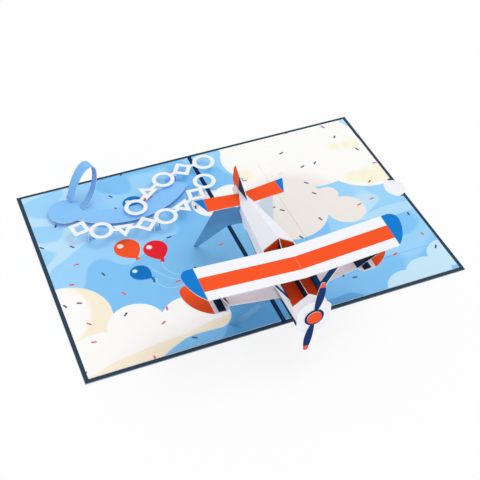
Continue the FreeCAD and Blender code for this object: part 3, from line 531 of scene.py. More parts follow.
@dataclass
class CardPrint:
    """The printed sky of the two liners: bands of blue, banks of cloud, balloons and confetti, with painted
    shade of the biplane in the sky and a painted shadow of it on the back cloud.

    Attributes:
        front_bank: circles of the cloud bank at the front left.
        front_crown: its tallest lobe.
        front_glow: the white part of that lobe, beside its cream shade.
        front_base: the curve under the bank, where the sky shows again.
        wave: the two circles that cut out the pale wave at the right.
        back_bank: circles of the cloud mass at the back right.
        back_shade: circles of the biplane's painted shadow on the back mass, in beige.
        back_glow: circles of its cream light.
        corner_bank: circles of the pale bank at the front right.
        strings: the balloons' strings.
        balloons: the balloons.
        bend_size: the size of the bends in the sky's bands, in millimetres.
        bend: how far those bends carry a band, in levels.
        side_rise: how many levels the sky rises in a millimetre away from the fold.
        back_rise: the same, towards the back.
        first_level: the level at the card's middle.
        deep_below: the level under which the sky is deep blue.
        light_above: the level over which it is light.
        wisp: the levels of the first pale wisp.
        wisp_above: the level over which all is pale.
        band_blur: how softly the bands meet, in levels.
        wave_ink: how strongly the pale wave is printed.
        cloud_melt: the width over which a cloud's lobes melt together.
        front_melt: the same, of the front bank.
        cloud_blur: how softly a cloud's edge ends.
        soft_blur: the same, where the sky shows again under the front bank.
        ripple_size: the size of the ripples under the front bank.
        ripple: how deep those ripples are.
        shore: the slope and the height of the line under which the front bank is cream.
        shore_blur: how softly that line ends.
        glow_blur: how softly the crown's white part ends.
        shade_melt: the width over which the circles of the painted shadow melt together.
        shade_blur: how softly the painted shadow ends.
        light_melt: the width over which the circles of the cream light melt together.
        light_blur: how softly that light ends.
        light_ink: how strongly it is printed.
        confetti_cell: the mean distance between pieces of confetti.
        confetti_spread: how unevenly they are scattered, up to 1.
        confetti_half: half a piece's length and half its width.
        confetti_blur: how softly its edges end.
        confetti_bare: the share of places that stay bare.
        confetti_inks: the shares at which coral and plum start.
        share_blur: how sharply those shares part.
        rim_half: half the width and half the depth of the print inside its cut edge.
    """

    front_bank: list[Circle] = field(default_factory=lambda: [
        (-85.0, -57.0, 18.5), (-52.0, -63.0, 18.5), (-39.5, -66.0, 12.0), (-112.0, -80.0, 26.0),
        (-68.0, -68.0, 15.0), (-86.0, -76.0, 18.0),
    ])
    front_crown: Circle = (-124.0, -37.0, 28.5)
    front_glow: Circle = (-137.0, -30.0, 29.0)
    front_base: Circle = (-45.0, -141.5, 64.5)
    wave: tuple[Circle, Circle] = ((112.0, -80.0, 65.0), (108.0, 40.0, 66.0))
    back_bank: list[Circle] = field(default_factory=lambda: [
        (46.0, 69.0, 26.5), (45.0, 86.0, 22.0), (80.0, 65.0, 44.5), (118.0, 42.0, 35.5), (39.0, 31.0, 21.0),
        (60.0, 24.0, 11.5),
        (-3.0, 33.0, 13.5), (13.0, 34.0, 13.0), (76.0, 11.0, 7.5), (81.0, -8.0, 13.5), (43.0, 3.0, 26.5),
        (63.0, 6.0, 16.0),
    ])
    back_shade: list[Circle] = field(default_factory=lambda: [
        (48.0, 6.0, 37.0), (76.0, -6.0, 25.0),
    ])
    back_glow: list[Circle] = field(default_factory=lambda: [
        (112.0, 18.0, 9.0), (124.0, 18.0, 9.0), (101.0, 21.0, 6.0), (104.0, 58.0, 4.0), (112.0, 57.0, 4.0),
        (119.0, 55.0, 4.0), (30.0, 52.0, 6.0),
    ])
    corner_bank: list[Circle] = field(default_factory=lambda: [
        (123.0, -71.0, 12.5), (104.0, -84.0, 15.5), (87.0, -90.0, 15.0),
    ])
    strings: list[BalloonString] = field(default_factory=lambda: [
        BalloonString((-41.0, -13.0, 12.4), (-56.0, -45.0), (-25.0, -9.0)),
        BalloonString((-32.0, -2.0, 31.2), (-63.0, -47.0), (-30.0, -10.0)),
        BalloonString((-51.0, -24.0, 10.9), (-63.0, -46.0), (-36.0, -22.0)),
    ])
    balloons: list[Balloon] = field(default_factory=lambda: [
        Balloon(-70.5, 11.6, 8.6, 3.4, Ink.ORANGE),
        Balloon(-53.2, 3.8, 8.1, 0.8, Ink.RED),
        Balloon(-69.4, -13.6, 6.6, 6.6, Ink.BALLOON_BLUE),
        Balloon(-53.0, 53.0, 7.4, 1.2, Ink.BALLOON_BLUE),
        Balloon(-41.0, 50.0, 5.6, -1.0, Ink.ORANGE),
    ])
    bend_size: float = 58.0
    bend: float = 1.5
    side_rise: float = 0.0046
    back_rise: float = 0.0032
    first_level: float = -0.3
    deep_below: float = 0.3
    light_above: float = 0.8
    wisp: Point = (1.12, 1.22)
    wisp_above: float = 1.34
    band_blur: float = 0.03
    wave_ink: float = 0.7
    cloud_melt: float = 1.0
    front_melt: float = 0.8
    cloud_blur: float = 0.2
    soft_blur: float = 0.3
    ripple_size: float = 24.0
    ripple: float = 5.0
    shore: Point = (0.157, -64.0)
    shore_blur: float = 0.8
    glow_blur: float = 3.5
    shade_melt: float = 8.0
    shade_blur: float = 12.0
    light_melt: float = 3.0
    light_blur: float = 5.0
    light_ink: float = 0.8
    confetti_cell: float = 19.0
    confetti_spread: float = 0.85
    confetti_half: Point = (1.7, 0.62)
    confetti_blur: float = 0.3
    confetti_bare: float = 0.36
    confetti_inks: Point = (0.45, 0.78)
    share_blur: float = 0.01
    rim_half: Point = (124.2, 86.1)

    def sky(self, sheet: Sheet) -> Socket:
        """Prints the bands of the sky, darker towards the fold and the front, where the deeper blue is
        partly painted shade of the biplane.

        Args:
            sheet: the liner's sheet.

        Returns:
            The sky's colour.
        """
        bend = sheet.noise(self.bend_size, detail=1.0)
        # The sky darkens towards the fold and the front: printed bands, and near the fold and under the
        # wings also painted shade of the biplane.
        away = sheet.number("ABSOLUTE", sheet.x)
        side = sheet.number("MULTIPLY_ADD", away, self.side_rise, self.first_level)
        slope = sheet.number("MULTIPLY_ADD", sheet.y, self.back_rise, side)
        level = sheet.number("MULTIPLY_ADD", bend, self.bend, slope)
        blur = self.band_blur
        deep = sheet.other(sheet.past(level, self.deep_below, blur))
        colour = sheet.paint(Ink.SKY.colour, Ink.SKY_DEEP.colour, deep)
        colour = sheet.paint(colour, Ink.SKY_LIGHT.colour, sheet.past(level, self.light_above, blur))
        colour = sheet.paint(colour, Ink.SKY_WISP.colour, sheet.within(level, *self.wisp, blur))
        colour = sheet.paint(colour, Ink.SKY_WISP.colour, sheet.past(level, self.wisp_above, blur))
        top, bottom = (sheet.past(sheet.lobes([circle]), 0.0, self.soft_blur) for circle in self.wave)
        wave = sheet.number("MULTIPLY", sheet.both(top, bottom), self.wave_ink)
        return sheet.paint(colour, Ink.SKY_WISP.colour, wave)

    def clouds(self, sheet: Sheet, base: Socket) -> Socket:
        """Prints the banks of cloud with their printed cream shades, and the biplane's painted shadow on
        the back mass.

        Args:
            sheet: the liner's sheet.
            base: the print so far.

        Returns:
            The print with the clouds.
        """
        corner = sheet.past(sheet.lobes(self.corner_bank, self.cloud_melt), 0.0, self.cloud_blur)
        colour = sheet.paint(base, Ink.SKY_PALE.colour, corner)
        ripples = sheet.noise(self.ripple_size, detail=0.0)
        wavy = sheet.number("MULTIPLY_ADD", ripples, self.ripple, -self.ripple / 2)
        bank = sheet.past(sheet.lobes(self.front_bank, self.front_melt), 0.0, self.cloud_blur)
        crown = sheet.past(sheet.lobes([self.front_crown]), 0.0, self.cloud_blur)
        base_depth = sheet.number("ADD", sheet.lobes([self.front_base]), wavy)
        under = sheet.past(base_depth, 0.0, self.soft_blur)
        slope, height = self.shore
        shore = sheet.number("MULTIPLY_ADD", sheet.x, -slope, sheet.number("ADD", sheet.y, wavy))
        low = sheet.other(sheet.past(shore, height, self.shore_blur))
        glow = sheet.past(sheet.lobes([self.front_glow]), 0.0, self.glow_blur)
        crescent = sheet.both(crown, sheet.both(sheet.other(bank), sheet.other(glow)))
        front = sheet.both(sheet.either(bank, crown), sheet.other(under))
        warm = sheet.paint(Ink.CLOUD.colour, Ink.CREAM.colour, sheet.either(crescent, low))
        colour = sheet.paint(colour, warm, front)
        back = sheet.past(sheet.lobes(self.back_bank, self.cloud_melt), 0.0, self.cloud_blur)
        # The beige on the back mass is a painted shadow of the biplane.
        shade = sheet.past(sheet.lobes(self.back_shade, self.shade_melt), 0.0, self.shade_blur)
        light = sheet.past(sheet.lobes(self.back_glow, self.light_melt), 0.0, self.light_blur)
        light = sheet.number("MULTIPLY", light, self.light_ink)
        mass = sheet.paint(Ink.CLOUD.colour, Ink.CREAM_LIGHT.colour, light)
        return sheet.paint(colour, sheet.paint(mass, Ink.BEIGE.colour, shade), back)

    def confetti(self, sheet: Sheet, base: Socket) -> Socket:
        """Scatters small dashes of three inks.

        Args:
            sheet: the liner's sheet.
            base: the print so far.

        Returns:
            The print with the confetti.
        """
        cells = sheet.nodes.new("ShaderNodeTexVoronoi")
        cells.voronoi_dimensions = "2D"
        cells.inputs["Scale"].default_value = 1.0 / self.confetti_cell
        cells.inputs["Randomness"].default_value = self.confetti_spread
        flat = sheet.vector("MULTIPLY", sheet.place, FLAT_ONLY)
        sheet.links.new(flat, cells.inputs["Vector"])
        chance = sheet.nodes.new("ShaderNodeSeparateXYZ")
        sheet.links.new(cells.outputs["Color"], chance.inputs[0])
        turned = sheet.nodes.new("ShaderNodeVectorRotate")
        turned.rotation_type = "Z_AXIS"
        sheet.links.new(sheet.vector("SUBTRACT", flat, cells.outputs["Position"]), turned.inputs["Vector"])
        sheet.links.new(sheet.number("MULTIPLY", chance.outputs[0], math.tau), turned.inputs["Angle"])
        local = sheet.nodes.new("ShaderNodeSeparateXYZ")
        sheet.links.new(turned.outputs[0], local.inputs[0])
        half_length, half_width = self.confetti_half
        long = sheet.within(local.outputs[0], -half_length, half_length, self.confetti_blur)
        wide = sheet.within(local.outputs[1], -half_width, half_width, self.confetti_blur)
        shown = sheet.past(chance.outputs[1], self.confetti_bare, self.share_blur)
        mask = sheet.both(sheet.both(long, wide), shown)
        draw = chance.outputs[2]
        coral, plum = (sheet.past(draw, share, self.share_blur) for share in self.confetti_inks)
        ink = sheet.paint(Ink.SLATE.colour, Ink.CORAL.colour, coral)
        ink = sheet.paint(ink, Ink.PLUM.colour, plum)
        return sheet.paint(base, ink, mask)

    def material(self, name: str) -> bpy.types.Material:
        """Prints one liner.

        Args:
            name: the material's name.

        Returns:
            The liner's material.
        """
        sheet = Sheet(name)
        colour = self.clouds(sheet, self.sky(sheet))
        colour = self.confetti(sheet, colour)
        for item in (*self.strings, *self.balloons):
            colour = item.paint(sheet, colour)
        half_width, half_depth = self.rim_half
        side = sheet.past(sheet.number("ABSOLUTE", sheet.x), half_width, INK_BLUR)
        end = sheet.past(sheet.number("ABSOLUTE", sheet.y), half_depth, INK_BLUR)
        rim = sheet.either(side, end)
        return COATED.close(sheet, colour, sheet.both(sheet.cut_edge(Facing.FLAT), rim))


@dataclass
class Card:
    """The cover, the liners and the note card.

    Attributes:
        sky: the sky that is printed on both liners.
        scuff: how wide the worn rim of the cover is, in millimetres.
        scuff_blur: how softly the worn rim ends.
        scuff_grain: the size of the rim's ragged bites.
        scuff_bite: how deep they are.
        half_width: half the open card's width.
        half_depth: half its depth.
        fold_half: half the width of the strip of painted shade along the fold.
        fold_floor: the height above which the board's inner face lies.
        score_half: half the width of the fold's scored line.
        score_blur: how softly that line ends.
        worn_ink: how strongly the worn rim shows.
        score_ink: how strongly the scored line's painted shade shows.
        edge_ink: how strongly the cut edge's pale core shows.
    """

    sky: CardPrint = field(default_factory=CardPrint)
    scuff: float = 0.45
    scuff_blur: float = 0.5
    scuff_grain: float = 2.2
    scuff_bite: float = 0.8
    half_width: float = 127.0
    half_depth: float = 88.9
    fold_half: float = 1.7
    fold_floor: float = 0.2
    score_half: float = 0.4
    score_blur: float = 0.2
    worn_ink: float = 0.5
    score_ink: float = 0.5
    edge_ink: float = 0.25

    def cover(self) -> bpy.types.Material:
        """Makes the cover's navy board with a lighter worn rim and painted shade along the fold.

        Returns:
            The cover's material.
        """
        sheet = Sheet("cover_board")
        side = sheet.number("SUBTRACT", self.half_width, sheet.number("ABSOLUTE", sheet.x))
        end = sheet.number("SUBTRACT", self.half_depth, sheet.number("ABSOLUTE", sheet.y))
        rim = sheet.number("MINIMUM", side, end)
        bites = sheet.noise(self.scuff_grain, detail=3.0)
        ragged = sheet.number("MULTIPLY_ADD", bites, self.scuff_bite, rim)
        worn = sheet.other(sheet.past(ragged, self.scuff, self.scuff_blur))
        worn = sheet.number("MULTIPLY", worn, self.worn_ink)
        ink = sheet.paint(Ink.COVER_NAVY.colour, Ink.WORN_NAVY.colour, worn)
        # The darker navy in the gap between the liners and on the scored line is painted shade in the fold.
        middle = sheet.number("ABSOLUTE", sheet.x)
        strip = sheet.other(sheet.past(middle, self.fold_half))
        inner = sheet.both(strip, sheet.past(sheet.z, self.fold_floor, soft=0.05))
        ink = sheet.paint(ink, Ink.FOLD_NAVY.colour, inner)
        score = sheet.other(sheet.past(middle, self.score_half, self.score_blur))
        score = sheet.number("MULTIPLY", score, self.score_ink)
        ink = sheet.paint(ink, Ink.LINE_NAVY.colour, score)
        edge = sheet.number("MULTIPLY", sheet.cut_edge(Facing.FLAT), self.edge_ink)
        return UNCOATED.close(sheet, ink, edge)

    def dress(self) -> None:
        """Dresses the card's nodes."""
        dress("cover", self.cover())
        dress("left_liner", self.sky.material("left_sky"))
        dress("right_liner", self.sky.material("right_sky"))
        print_plain("note_card", Ink.STOCK_WHITE, Facing.FLAT)


@dataclass
class Supports:
    """The two V-folds that carry the biplane, and the small risers.

    Attributes:
        reach: the height at which the painted shade is at its deepest, in millimetres.
        drift_size: the size of the slow change of painted shade.
        drift: how far that change goes, as a share of the reach.
        deep: the share at which the deeper painted shade is half there.
        deep_blur: how softly it comes in.
    """

    reach: float = 48.0
    drift_size: float = 26.0
    drift: float = 0.7
    deep: float = 0.85
    deep_blur: float = 0.3

    def dress(self) -> None:
        """Dresses the V-folds and the risers."""
        for node, right in (("tail_support", Ink.CLOUD), ("front_support", Ink.SKY)):
            sheet = Sheet(f"{node}_print")
            # The V-folds carry the sky's print; their darker blues are painted shade under the biplane,
            # deepest towards its underside, and their dark cut edges are painted shade too.
            rise = sheet.number("DIVIDE", sheet.z, self.reach, clamp=True)
            drift = sheet.number("MULTIPLY_ADD", sheet.noise(self.drift_size, detail=1.0), self.drift, rise)
            deep = sheet.past(drift, self.deep, self.deep_blur)
            sky = sheet.paint(Ink.SUPPORT_BLUE.colour, Ink.SUPPORT_DEEP.colour, deep)
            ink = sheet.paint(sky, right.colour, sheet.past(sheet.x, 0.0))
            dress(node, THIN.close(sheet, ink, sheet.cut_edge(Facing.V_FOLD), Ink.SUPPORT_DEEP))
        for node in ("ribbon_riser_left", "ribbon_riser_middle"):
            print_plain(node, Ink.RIBBON_BLUE, Facing.RISER, THIN)
        for node in ("garland_riser_left", "garland_riser_middle", "garland_riser_right", "crest_riser"):
            print_plain(node, Ink.SKY_LIGHT, Facing.RISER, THIN)


@dataclass
class Fuselage:
    """The folded shell and the spine.

    Attributes:
        belly: the height up to which the walls are navy, in millimetres, where y is 0.
        belly_slope: how much further up the navy reaches for each millimetre to the front.
        belly_end: where the navy ends, towards the tail.
        rudder: where the rudder's line meets the height of 0.
        rudder_slope: how far that line leans to the front for each millimetre up.
        wall_turn: how far inwards a wall's face looks at least where it is orange.
        deck_turn: how far down the deck's face looks at least where it is orange.
    """

    belly: float = 38.7
    belly_slope: float = 0.035
    belly_end: float = -40.5
    rudder: float = -4.86
    rudder_slope: float = 0.149
    wall_turn: float = 0.4
    deck_turn: float = 0.3

    def shell(self) -> bpy.types.Material:
        """Prints the shell: white outside with a navy belly line, orange inside.

        Returns:
            The shell's material.
        """
        sheet = Sheet("shell_print")
        normal = sheet.nodes.new("ShaderNodeSeparateXYZ")
        sheet.links.new(sheet.coordinates.outputs["Normal"], normal.inputs[0])
        outward = sheet.number("MULTIPLY", normal.outputs[0], sheet.x)
        inner_wall = sheet.other(sheet.past(outward, -self.wall_turn, soft=0.2))
        inner_deck = sheet.other(sheet.past(normal.outputs[2], -self.deck_turn, soft=0.1))
        inside = sheet.either(inner_wall, inner_deck)
        line = sheet.number("MULTIPLY_ADD", sheet.y, self.belly_slope, sheet.z)
        low = sheet.other(sheet.past(line, self.belly))
        belly = sheet.both(low, sheet.other(sheet.past(sheet.y, self.belly_end)))
        ink = sheet.paint(Ink.LAVENDER_WHITE.colour, Ink.LINE_NAVY.colour, belly)
        ink = sheet.paint(ink, Ink.INSIDE_ORANGE.colour, inside)
        return COATED.close(sheet, ink, sheet.cut_edge(Facing.SHELL))

    def spine(self) -> bpy.types.Material:
        """Prints the spine navy and its rudder orange.

        Returns:
            The spine's material.
        """
        sheet = Sheet("spine_print")
        line = sheet.number("MULTIPLY_ADD", sheet.z, self.rudder_slope, sheet.y)
        rudder = sheet.past(line, self.rudder)
        ink = sheet.paint(Ink.LINE_NAVY.colour, Ink.ORANGE.colour, rudder)
        return COATED.close(sheet, ink, sheet.cut_edge(Facing.UPRIGHT_ALONG))

    def dress(self) -> None:
        """Dresses the fuselage's nodes."""
        dress("fuselage_shell", self.shell())
        dress("spine_plate", self.spine())
        for node, facing in (
            ("cockpit_rear", Facing.UPRIGHT_ACROSS),
            ("cockpit_floor_left", Facing.FLAT),
            ("cockpit_floor_right", Facing.FLAT),
        ):
            print_plain(node, Ink.INSIDE_ORANGE, facing)


@dataclass
class Wings:
    """The tailplane, the two wings and the struts between them.

    Attributes:
        stripe: the upper wing's orange stripe along the chord, in millimetres.
        tip: where the upper wing's blue tips start.
        lower_tip: where the lower wing's orange tips start.
        band: the navy bands of the lower wing.
        band_front: where those bands end, in front.
        crease_half: half the width of the upper wing's crease.
        lower_crease: where the lower wing is creased.
        crease_blur: how softly a crease ends.
        crease_ink: how strongly the upper wing's crease and the lower wing's show.
        corner: where the tailplane's blue corners start, where y is 0.
        corner_slope: how much nearer to the middle they start for each millimetre to the back.
    """

    stripe: Point = (-107.8, -97.5)
    tip: float = 58.2
    lower_tip: float = 50.8
    band: Point = (43.5, 48.2)
    band_front: float = -102.6
    crease_half: float = 0.2
    lower_crease: Point = (40.3, 40.7)
    crease_blur: float = 0.25
    crease_ink: Point = (0.1, 0.4)
    corner: float = 23.4
    corner_slope: float = 0.075

    def upper(self) -> bpy.types.Material:
        """Prints the upper wing: white with an orange stripe and blue tips.

        Returns:
            The upper wing's material.
        """
        sheet = Sheet("upper_wing_print")
        side = sheet.number("ABSOLUTE", sheet.x)
        stripe = sheet.within(sheet.y, *self.stripe)
        ink = sheet.paint(Ink.STOCK_WHITE.colour, Ink.ORANGE.colour, stripe)
        ink = sheet.paint(ink, Ink.TIP_BLUE.colour, sheet.past(side, self.tip))
        crease = sheet.other(sheet.past(side, self.crease_half, self.crease_blur))
        crease = sheet.number("MULTIPLY", crease, self.crease_ink[0])
        ink = sheet.paint(ink, Ink.CORE_WHITE.colour, crease)
        return COATED.close(sheet, ink, sheet.cut_edge(Facing.FLAT))

    def lower(self) -> bpy.types.Material:
        """Prints the lower wing: white, a navy band and orange tips.

        Returns:
            The lower wing's material.
        """
        sheet = Sheet("lower_wing_print")
        side = sheet.number("ABSOLUTE", sheet.x)
        band = sheet.both(sheet.within(side, *self.band), sheet.past(sheet.y, self.band_front))
        ink = sheet.paint(Ink.STOCK_WHITE.colour, Ink.LINE_NAVY.colour, band)
        ink = sheet.paint(ink, Ink.ORANGE.colour, sheet.past(side, self.lower_tip))
        crease = sheet.within(side, *self.lower_crease, self.crease_blur)
        crease = sheet.number("MULTIPLY", crease, self.crease_ink[1])
        ink = sheet.paint(ink, Ink.CORE_WHITE.colour, crease)
        return COATED.close(sheet, ink, sheet.cut_edge(Facing.FLAT))

    def tail(self) -> bpy.types.Material:
        """Prints the tailplane: orange with blue corners.

        Returns:
            The tailplane's material.
        """
        sheet = Sheet("tailplane_print")
        side = sheet.number("ABSOLUTE", sheet.x)
        line = sheet.number("MULTIPLY_ADD", sheet.y, self.corner_slope, side)
        ink = sheet.paint(Ink.ORANGE.colour, Ink.TIP_BLUE.colour, sheet.past(line, self.corner))
        return COATED.close(sheet, ink, sheet.cut_edge(Facing.FLAT))

    def dress(self) -> None:
        """Dresses the wings and the struts."""
        dress("upper_wing", self.upper())
        dress("lower_wing", self.lower())
        dress("tailplane", self.tail())
        for hand, plate, bracket in (
            ("left", Facing.STRUT_LEFT, Facing.BRACKET_LEFT),
            ("right", Facing.STRUT_RIGHT, Facing.BRACKET_RIGHT),
        ):
            print_plain(f"interplane_strut_{hand}", Ink.LINE_NAVY, plate)
            print_plain(f"cabane_bracket_{hand}", Ink.STRUT_BLUE, bracket)


@dataclass
class Nose:
    """The nose plate and the propeller.

    Attributes:
        hub_z: the height of the propeller's axis, in millimetres.
        blade_tip: where a blade's coral tip starts, from the axis.
    """

    hub_z: float = 44.2
    blade_tip: float = 22.6

    def dress(self) -> None:
        """Dresses the nose plate, the propeller, its cap and its washer."""
        print_plain("nose_plate", Ink.STOCK_WHITE, Facing.UPRIGHT_ACROSS)
        blades = Sheet("propeller_print")
        facing = blades.vector("MULTIPLY", blades.place, (1.0, 0.0, 1.0))
        away = blades.vector("DISTANCE", facing, (0.0, 0.0, self.hub_z))
        ink = blades.paint(Ink.BLADE_NAVY.colour, Ink.CORAL.colour, blades.past(away, self.blade_tip))
        dress("propeller", COATED.close(blades, ink, blades.cut_edge(Facing.UPRIGHT_ACROSS)))
        print_plain("hub_cap", Ink.ORANGE, Facing.UPRIGHT_ACROSS)
        print_plain("hub_washer", Ink.STOCK_WHITE, Facing.UPRIGHT_ACROSS, THIN)


@dataclass(frozen=True)
class CurlStation:
    """One place along the ribbon's curl.

    Attributes:
        x: the middle of the strip in millimetres.
        y: the same, along y.
        z: the same, along z.
        wide: the strip's width there.
    """

    x: float
    y: float
    z: float
    wide: float

    @property
    def centre(self) -> Vector:
        """The middle of the strip in metres."""
        return Vector((self.x, self.y, self.z)) * MILLIMETRE


@dataclass
class RibbonCurl:
    """The standing curl: a strip that climbs from the ribbon's end and comes down in front of it.

    Attributes:
        across: the direction of the strip's width.
        thick: its thickness in millimetres.
        stations: the places that it passes.
        eye: the middle of the curl's open eye.
        smoothing: how often its faces are divided.
        crease_angle: the angle past which an edge stays sharp, in degrees.
        side_turn: how squarely a face looks sideways at least where it is a cut edge.
        edge_ink: how strongly the cut edge's pale core shows.
    """

    across: tuple[float, float, float] = (0.305, -0.952, 0.0)
    thick: float = 0.4
    stations: list[CurlStation] = field(default_factory=lambda: [
        CurlStation(-94.8, 67.9, 4.75, 7.4), CurlStation(-92.4, 69.6, 6.2, 7.6),
        CurlStation(-91.2, 69.5, 10.8, 7.8), CurlStation(-89.8, 68.8, 16.5, 7.9),
        CurlStation(-87.4, 68.5, 22.4, 8.1), CurlStation(-83.7, 68.6, 28.4, 8.5),
        CurlStation(-79.8, 68.7, 31.8, 8.6), CurlStation(-76.4, 68.6, 31.9, 8.0),
        CurlStation(-74.4, 68.2, 28.9, 6.6), CurlStation(-74.3, 67.3, 23.8, 5.6),
        CurlStation(-75.3, 66.1, 18.8, 5.2), CurlStation(-77.0, 64.6, 14.2, 5.2),
        CurlStation(-79.5, 62.8, 10.6, 5.3), CurlStation(-82.6, 60.7, 7.6, 5.5),
        CurlStation(-85.4, 58.8, 5.7, 5.7), CurlStation(-88.6, 57.2, 4.75, 5.9),
    ])
    eye: tuple[float, float, float] = (-82.5, 66.0, 17.0)
    smoothing: int = 3
    crease_angle: float = 40.0
    side_turn: float = 0.7
    edge_ink: float = 0.6

    def build(self) -> bpy.types.Object:
        """Draws the strip out station by station, smooths it and gives it its thickness.

        Returns:
            The curl.
        """
        first = self.stations[0]
        bpy.ops.object.select_all(action="DESELECT")
        bpy.ops.mesh.primitive_plane_add(size=1.0, location=(0.0, 0.0, 0.0))
        curl = bpy.context.active_object
        curl.name = "ribbon_curl"
        bpy.ops.object.mode_set(mode="EDIT")
        bpy.ops.mesh.select_mode(type="VERT")
        bpy.ops.mesh.select_all(action="SELECT")
        bpy.ops.mesh.merge(type="COLLAPSE")
        width = Vector(self.across) * first.wide * MILLIMETRE
        bpy.ops.transform.translate(value=first.centre - width / 2)
        bpy.ops.mesh.extrude_region_move(TRANSFORM_OT_translate={"value": width})
        bpy.ops.mesh.select_all(action="SELECT")
        for last, station in zip(self.stations, self.stations[1:]):
            bpy.ops.mesh.extrude_region_move(TRANSFORM_OT_translate={"value": station.centre - last.centre})
            ratio = station.wide / last.wide
            bpy.ops.transform.resize(value=(ratio, ratio, ratio), center_override=station.centre)
        bpy.ops.mesh.select_all(action="SELECT")
        bpy.ops.mesh.normals_make_consistent(inside=False)
        bpy.ops.object.mode_set(mode="OBJECT")
        smooth = curl.modifiers.new("smooth", "SUBSURF")
        smooth.levels = self.smoothing
        smooth.render_levels = self.smoothing
        bpy.ops.object.modifier_apply(modifier=smooth.name)
        sheet = curl.modifiers.new("sheet", "SOLIDIFY")
        sheet.thickness = self.thick * MILLIMETRE
        sheet.offset = 0.0
        bpy.ops.object.modifier_apply(modifier=sheet.name)
        bpy.ops.object.shade_smooth_by_angle(angle=math.radians(self.crease_angle))
        curl.data.materials.append(self.material())
        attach(curl, "card")
        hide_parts("ribbon_loop")
        log.info("built %s with %d faces", curl.name, len(curl.data.polygons))
        return curl

    def material(self) -> bpy.types.Material:
        """Prints the curl, with painted shade on the face that looks into its eye.

        Returns:
            The curl's material.
        """
        sheet = Sheet("curl_print")
        # The deeper blue on the face that looks into the eye is painted shade.
        outward = sheet.vector("SUBTRACT", sheet.place, self.eye)
        facing = sheet.vector("DOT_PRODUCT", sheet.coordinates.outputs["Normal"], outward)
        inside = sheet.other(sheet.past(facing, 0.0, soft=1.0))
        ink = sheet.paint(Ink.RIBBON_BLUE.colour, Ink.RIBBON_SHADE.colour, inside)
        along = sheet.vector("DOT_PRODUCT", sheet.coordinates.outputs["Normal"], self.across)
        edge = sheet.past(sheet.number("ABSOLUTE", along), self.side_turn, soft=0.1)
        edge = sheet.number("MULTIPLY", edge, self.edge_ink)
        return THIN.close(sheet, ink, edge, Ink.LAVENDER_WHITE)


@dataclass
class Trail:
    """The ribbon with its curl, and the two garland rows.

    Attributes:
        curl: the ribbon's standing curl.
        drift_size: the size of the slow change of shade on the ribbon, in millimetres.
    """

    curl: RibbonCurl = field(default_factory=RibbonCurl)
    drift_size: float = 30.0

    def dress(self) -> None:
        """Dresses the ribbon and the garland, and builds the curl."""
        band = Sheet("ribbon_print")
        drift = band.noise(self.drift_size, detail=1.0)
        ink = band.paint(Ink.RIBBON_BLUE.colour, Ink.RIBBON_LIGHT.colour, drift)
        dress("ribbon_band", THIN.close(band, ink, band.cut_edge(Facing.FLAT), Ink.LAVENDER_WHITE))
        for node in ("garland_lower", "garland_upper"):
            # The light blue on the garland's cut edges is painted shade.
            print_plain(node, Ink.STOCK_WHITE, Facing.FLAT, THIN, Ink.SKY_LIGHT)
        self.curl.build()


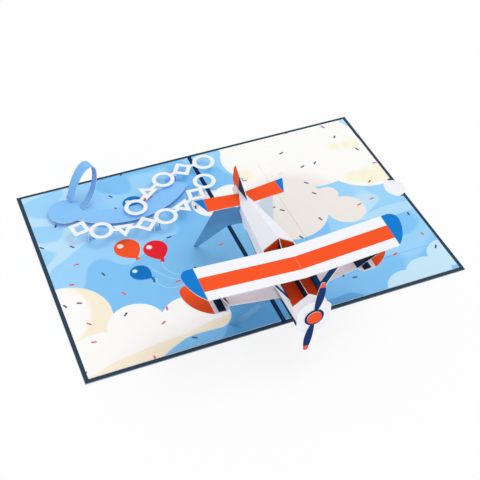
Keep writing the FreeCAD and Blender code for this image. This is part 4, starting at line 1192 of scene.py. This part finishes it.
@dataclass
class Studio:
    """The floor, the light and the camera.

    Attributes:
        eye: the camera's place in metres.
        forward: the way it looks.
        right: its right hand.
        lens: its focal length in millimetres.
        sensor: the width of its sensor in millimetres.
        nearest: the nearest that it sees, in metres.
        sky_level: the world's strength on the object.
        key_level: the key lamp's strength.
        fill_level: the fill lamp's strength.
        floor_side: the floor's side in metres.
        floor_drop: how far the floor lies under the card, in metres.
        floor_glow: how much of the white that the camera sees on the floor is its own.
    """

    eye: tuple[float, float, float] = (-0.185105, -0.480187, 0.476556)
    forward: tuple[float, float, float] = (0.26905, 0.67776, -0.68429)
    right: tuple[float, float, float] = (0.92848, -0.37137, -0.00277)
    lens: float = 78.14
    sensor: float = 36.0
    nearest: float = 0.01
    sky_level: float = 0.66
    key_level: float = 0.8
    fill_level: float = 0.7
    floor_side: float = 6.0
    floor_drop: float = 0.0002
    floor_glow: float = 0.78

    def floor(self) -> None:
        """Lays a white floor that keeps a soft shadow."""
        bpy.ops.object.select_all(action="DESELECT")
        bpy.ops.mesh.primitive_plane_add(size=self.floor_side, location=(0.0, 0.0, -self.floor_drop))
        floor = bpy.context.active_object
        floor.name = "studio_floor"
        material = bpy.data.materials.new("studio_white")
        material.use_nodes = True
        nodes = material.node_tree.nodes
        links = material.node_tree.links
        shader = nodes["Principled BSDF"]
        shader.inputs["Base Color"].default_value = (0.97, 0.97, 0.975, 1.0)
        shader.inputs["Roughness"].default_value = 0.9
        shader.inputs["Specular IOR Level"].default_value = 0.1
        glow = nodes.new("ShaderNodeEmission")
        glow.inputs["Color"].default_value = (1.0, 1.0, 1.0, 1.0)
        path = nodes.new("ShaderNodeLightPath")
        share = nodes.new("ShaderNodeMath")
        share.operation = "MULTIPLY"
        share.inputs[1].default_value = self.floor_glow
        links.new(path.outputs["Is Camera Ray"], share.inputs[0])
        blend = nodes.new("ShaderNodeMixShader")
        links.new(share.outputs[0], blend.inputs[0])
        links.new(shader.outputs[0], blend.inputs[1])
        links.new(glow.outputs[0], blend.inputs[2])
        links.new(blend.outputs[0], nodes["Material Output"].inputs[0])
        floor.data.materials.append(material)
        bpy.ops.object.transform_apply(location=True, rotation=False, scale=False)

    def world(self) -> None:
        """Sets an even white surround that the camera sees as white."""
        world = bpy.data.worlds.new("studio_surround")
        bpy.context.scene.world = world
        world.use_nodes = True
        nodes = world.node_tree.nodes
        links = world.node_tree.links
        nodes.clear()
        lamp = nodes.new("ShaderNodeBackground")
        lamp.inputs["Color"].default_value = (0.97, 0.985, 1.0, 1.0)
        lamp.inputs["Strength"].default_value = self.sky_level
        seen = nodes.new("ShaderNodeBackground")
        seen.inputs["Color"].default_value = (1.0, 1.0, 1.0, 1.0)
        path = nodes.new("ShaderNodeLightPath")
        blend = nodes.new("ShaderNodeMixShader")
        output = nodes.new("ShaderNodeOutputWorld")
        links.new(path.outputs["Is Camera Ray"], blend.inputs[0])
        links.new(lamp.outputs[0], blend.inputs[1])
        links.new(seen.outputs[0], blend.inputs[2])
        links.new(blend.outputs[0], output.inputs[0])

    def lamp(self, name: str, strength: float, spread: float, towards: tuple[float, float, float]) -> None:
        """Hangs one broad soft lamp.

        Args:
            name: the lamp's name.
            strength: its strength.
            spread: how wide it looks from the object, in degrees.
            towards: the direction from the object to it.
        """
        lamp = bpy.data.lights.new(name, "SUN")
        lamp.energy = strength
        lamp.angle = math.radians(spread)
        lamp.color = (1.0, 0.985, 0.96)
        item = bpy.data.objects.new(name, lamp)
        bpy.context.collection.objects.link(item)
        item.rotation_euler = Vector(towards).to_track_quat("Z", "Y").to_euler()

    def lamps(self) -> None:
        """Hangs the key lamp above and to the right, and a wide fill lamp in front."""
        self.lamp("key_lamp", self.key_level, spread=38.0, towards=(0.42, -0.02, 1.0))
        self.lamp("fill_lamp", self.fill_level, spread=120.0, towards=(-0.3, -1.0, 0.45))

    def camera(self) -> None:
        """Sets the camera where the photograph was taken from."""
        lens = bpy.data.cameras.new("photo_camera")
        lens.lens = self.lens
        lens.sensor_width = self.sensor
        lens.clip_start = self.nearest
        item = bpy.data.objects.new("photo_camera", lens)
        bpy.context.collection.objects.link(item)
        back = -Vector(self.forward).normalized()
        right = Vector(self.right).normalized()
        up = back.cross(right).normalized()
        turn = Matrix((right, up, back)).transposed().to_4x4()
        item.matrix_world = Matrix.Translation(self.eye) @ turn
        bpy.context.scene.camera = item

    def build(self) -> None:
        """Sets up the whole studio."""
        self.floor()
        self.world()
        self.lamps()
        self.camera()
        bpy.context.scene.view_settings.view_transform = "Standard"
        log.info("studio ready")


def main() -> None:
    """Builds and dresses the card, then its studio."""
    Studio().build()
    for assembly in (Card(), Supports(), Fuselage(), Wings(), Nose(), Trail()):
        assembly.dress()
        log.info("finished %s", type(assembly).__name__)


if __name__ == "__main__":
    main()
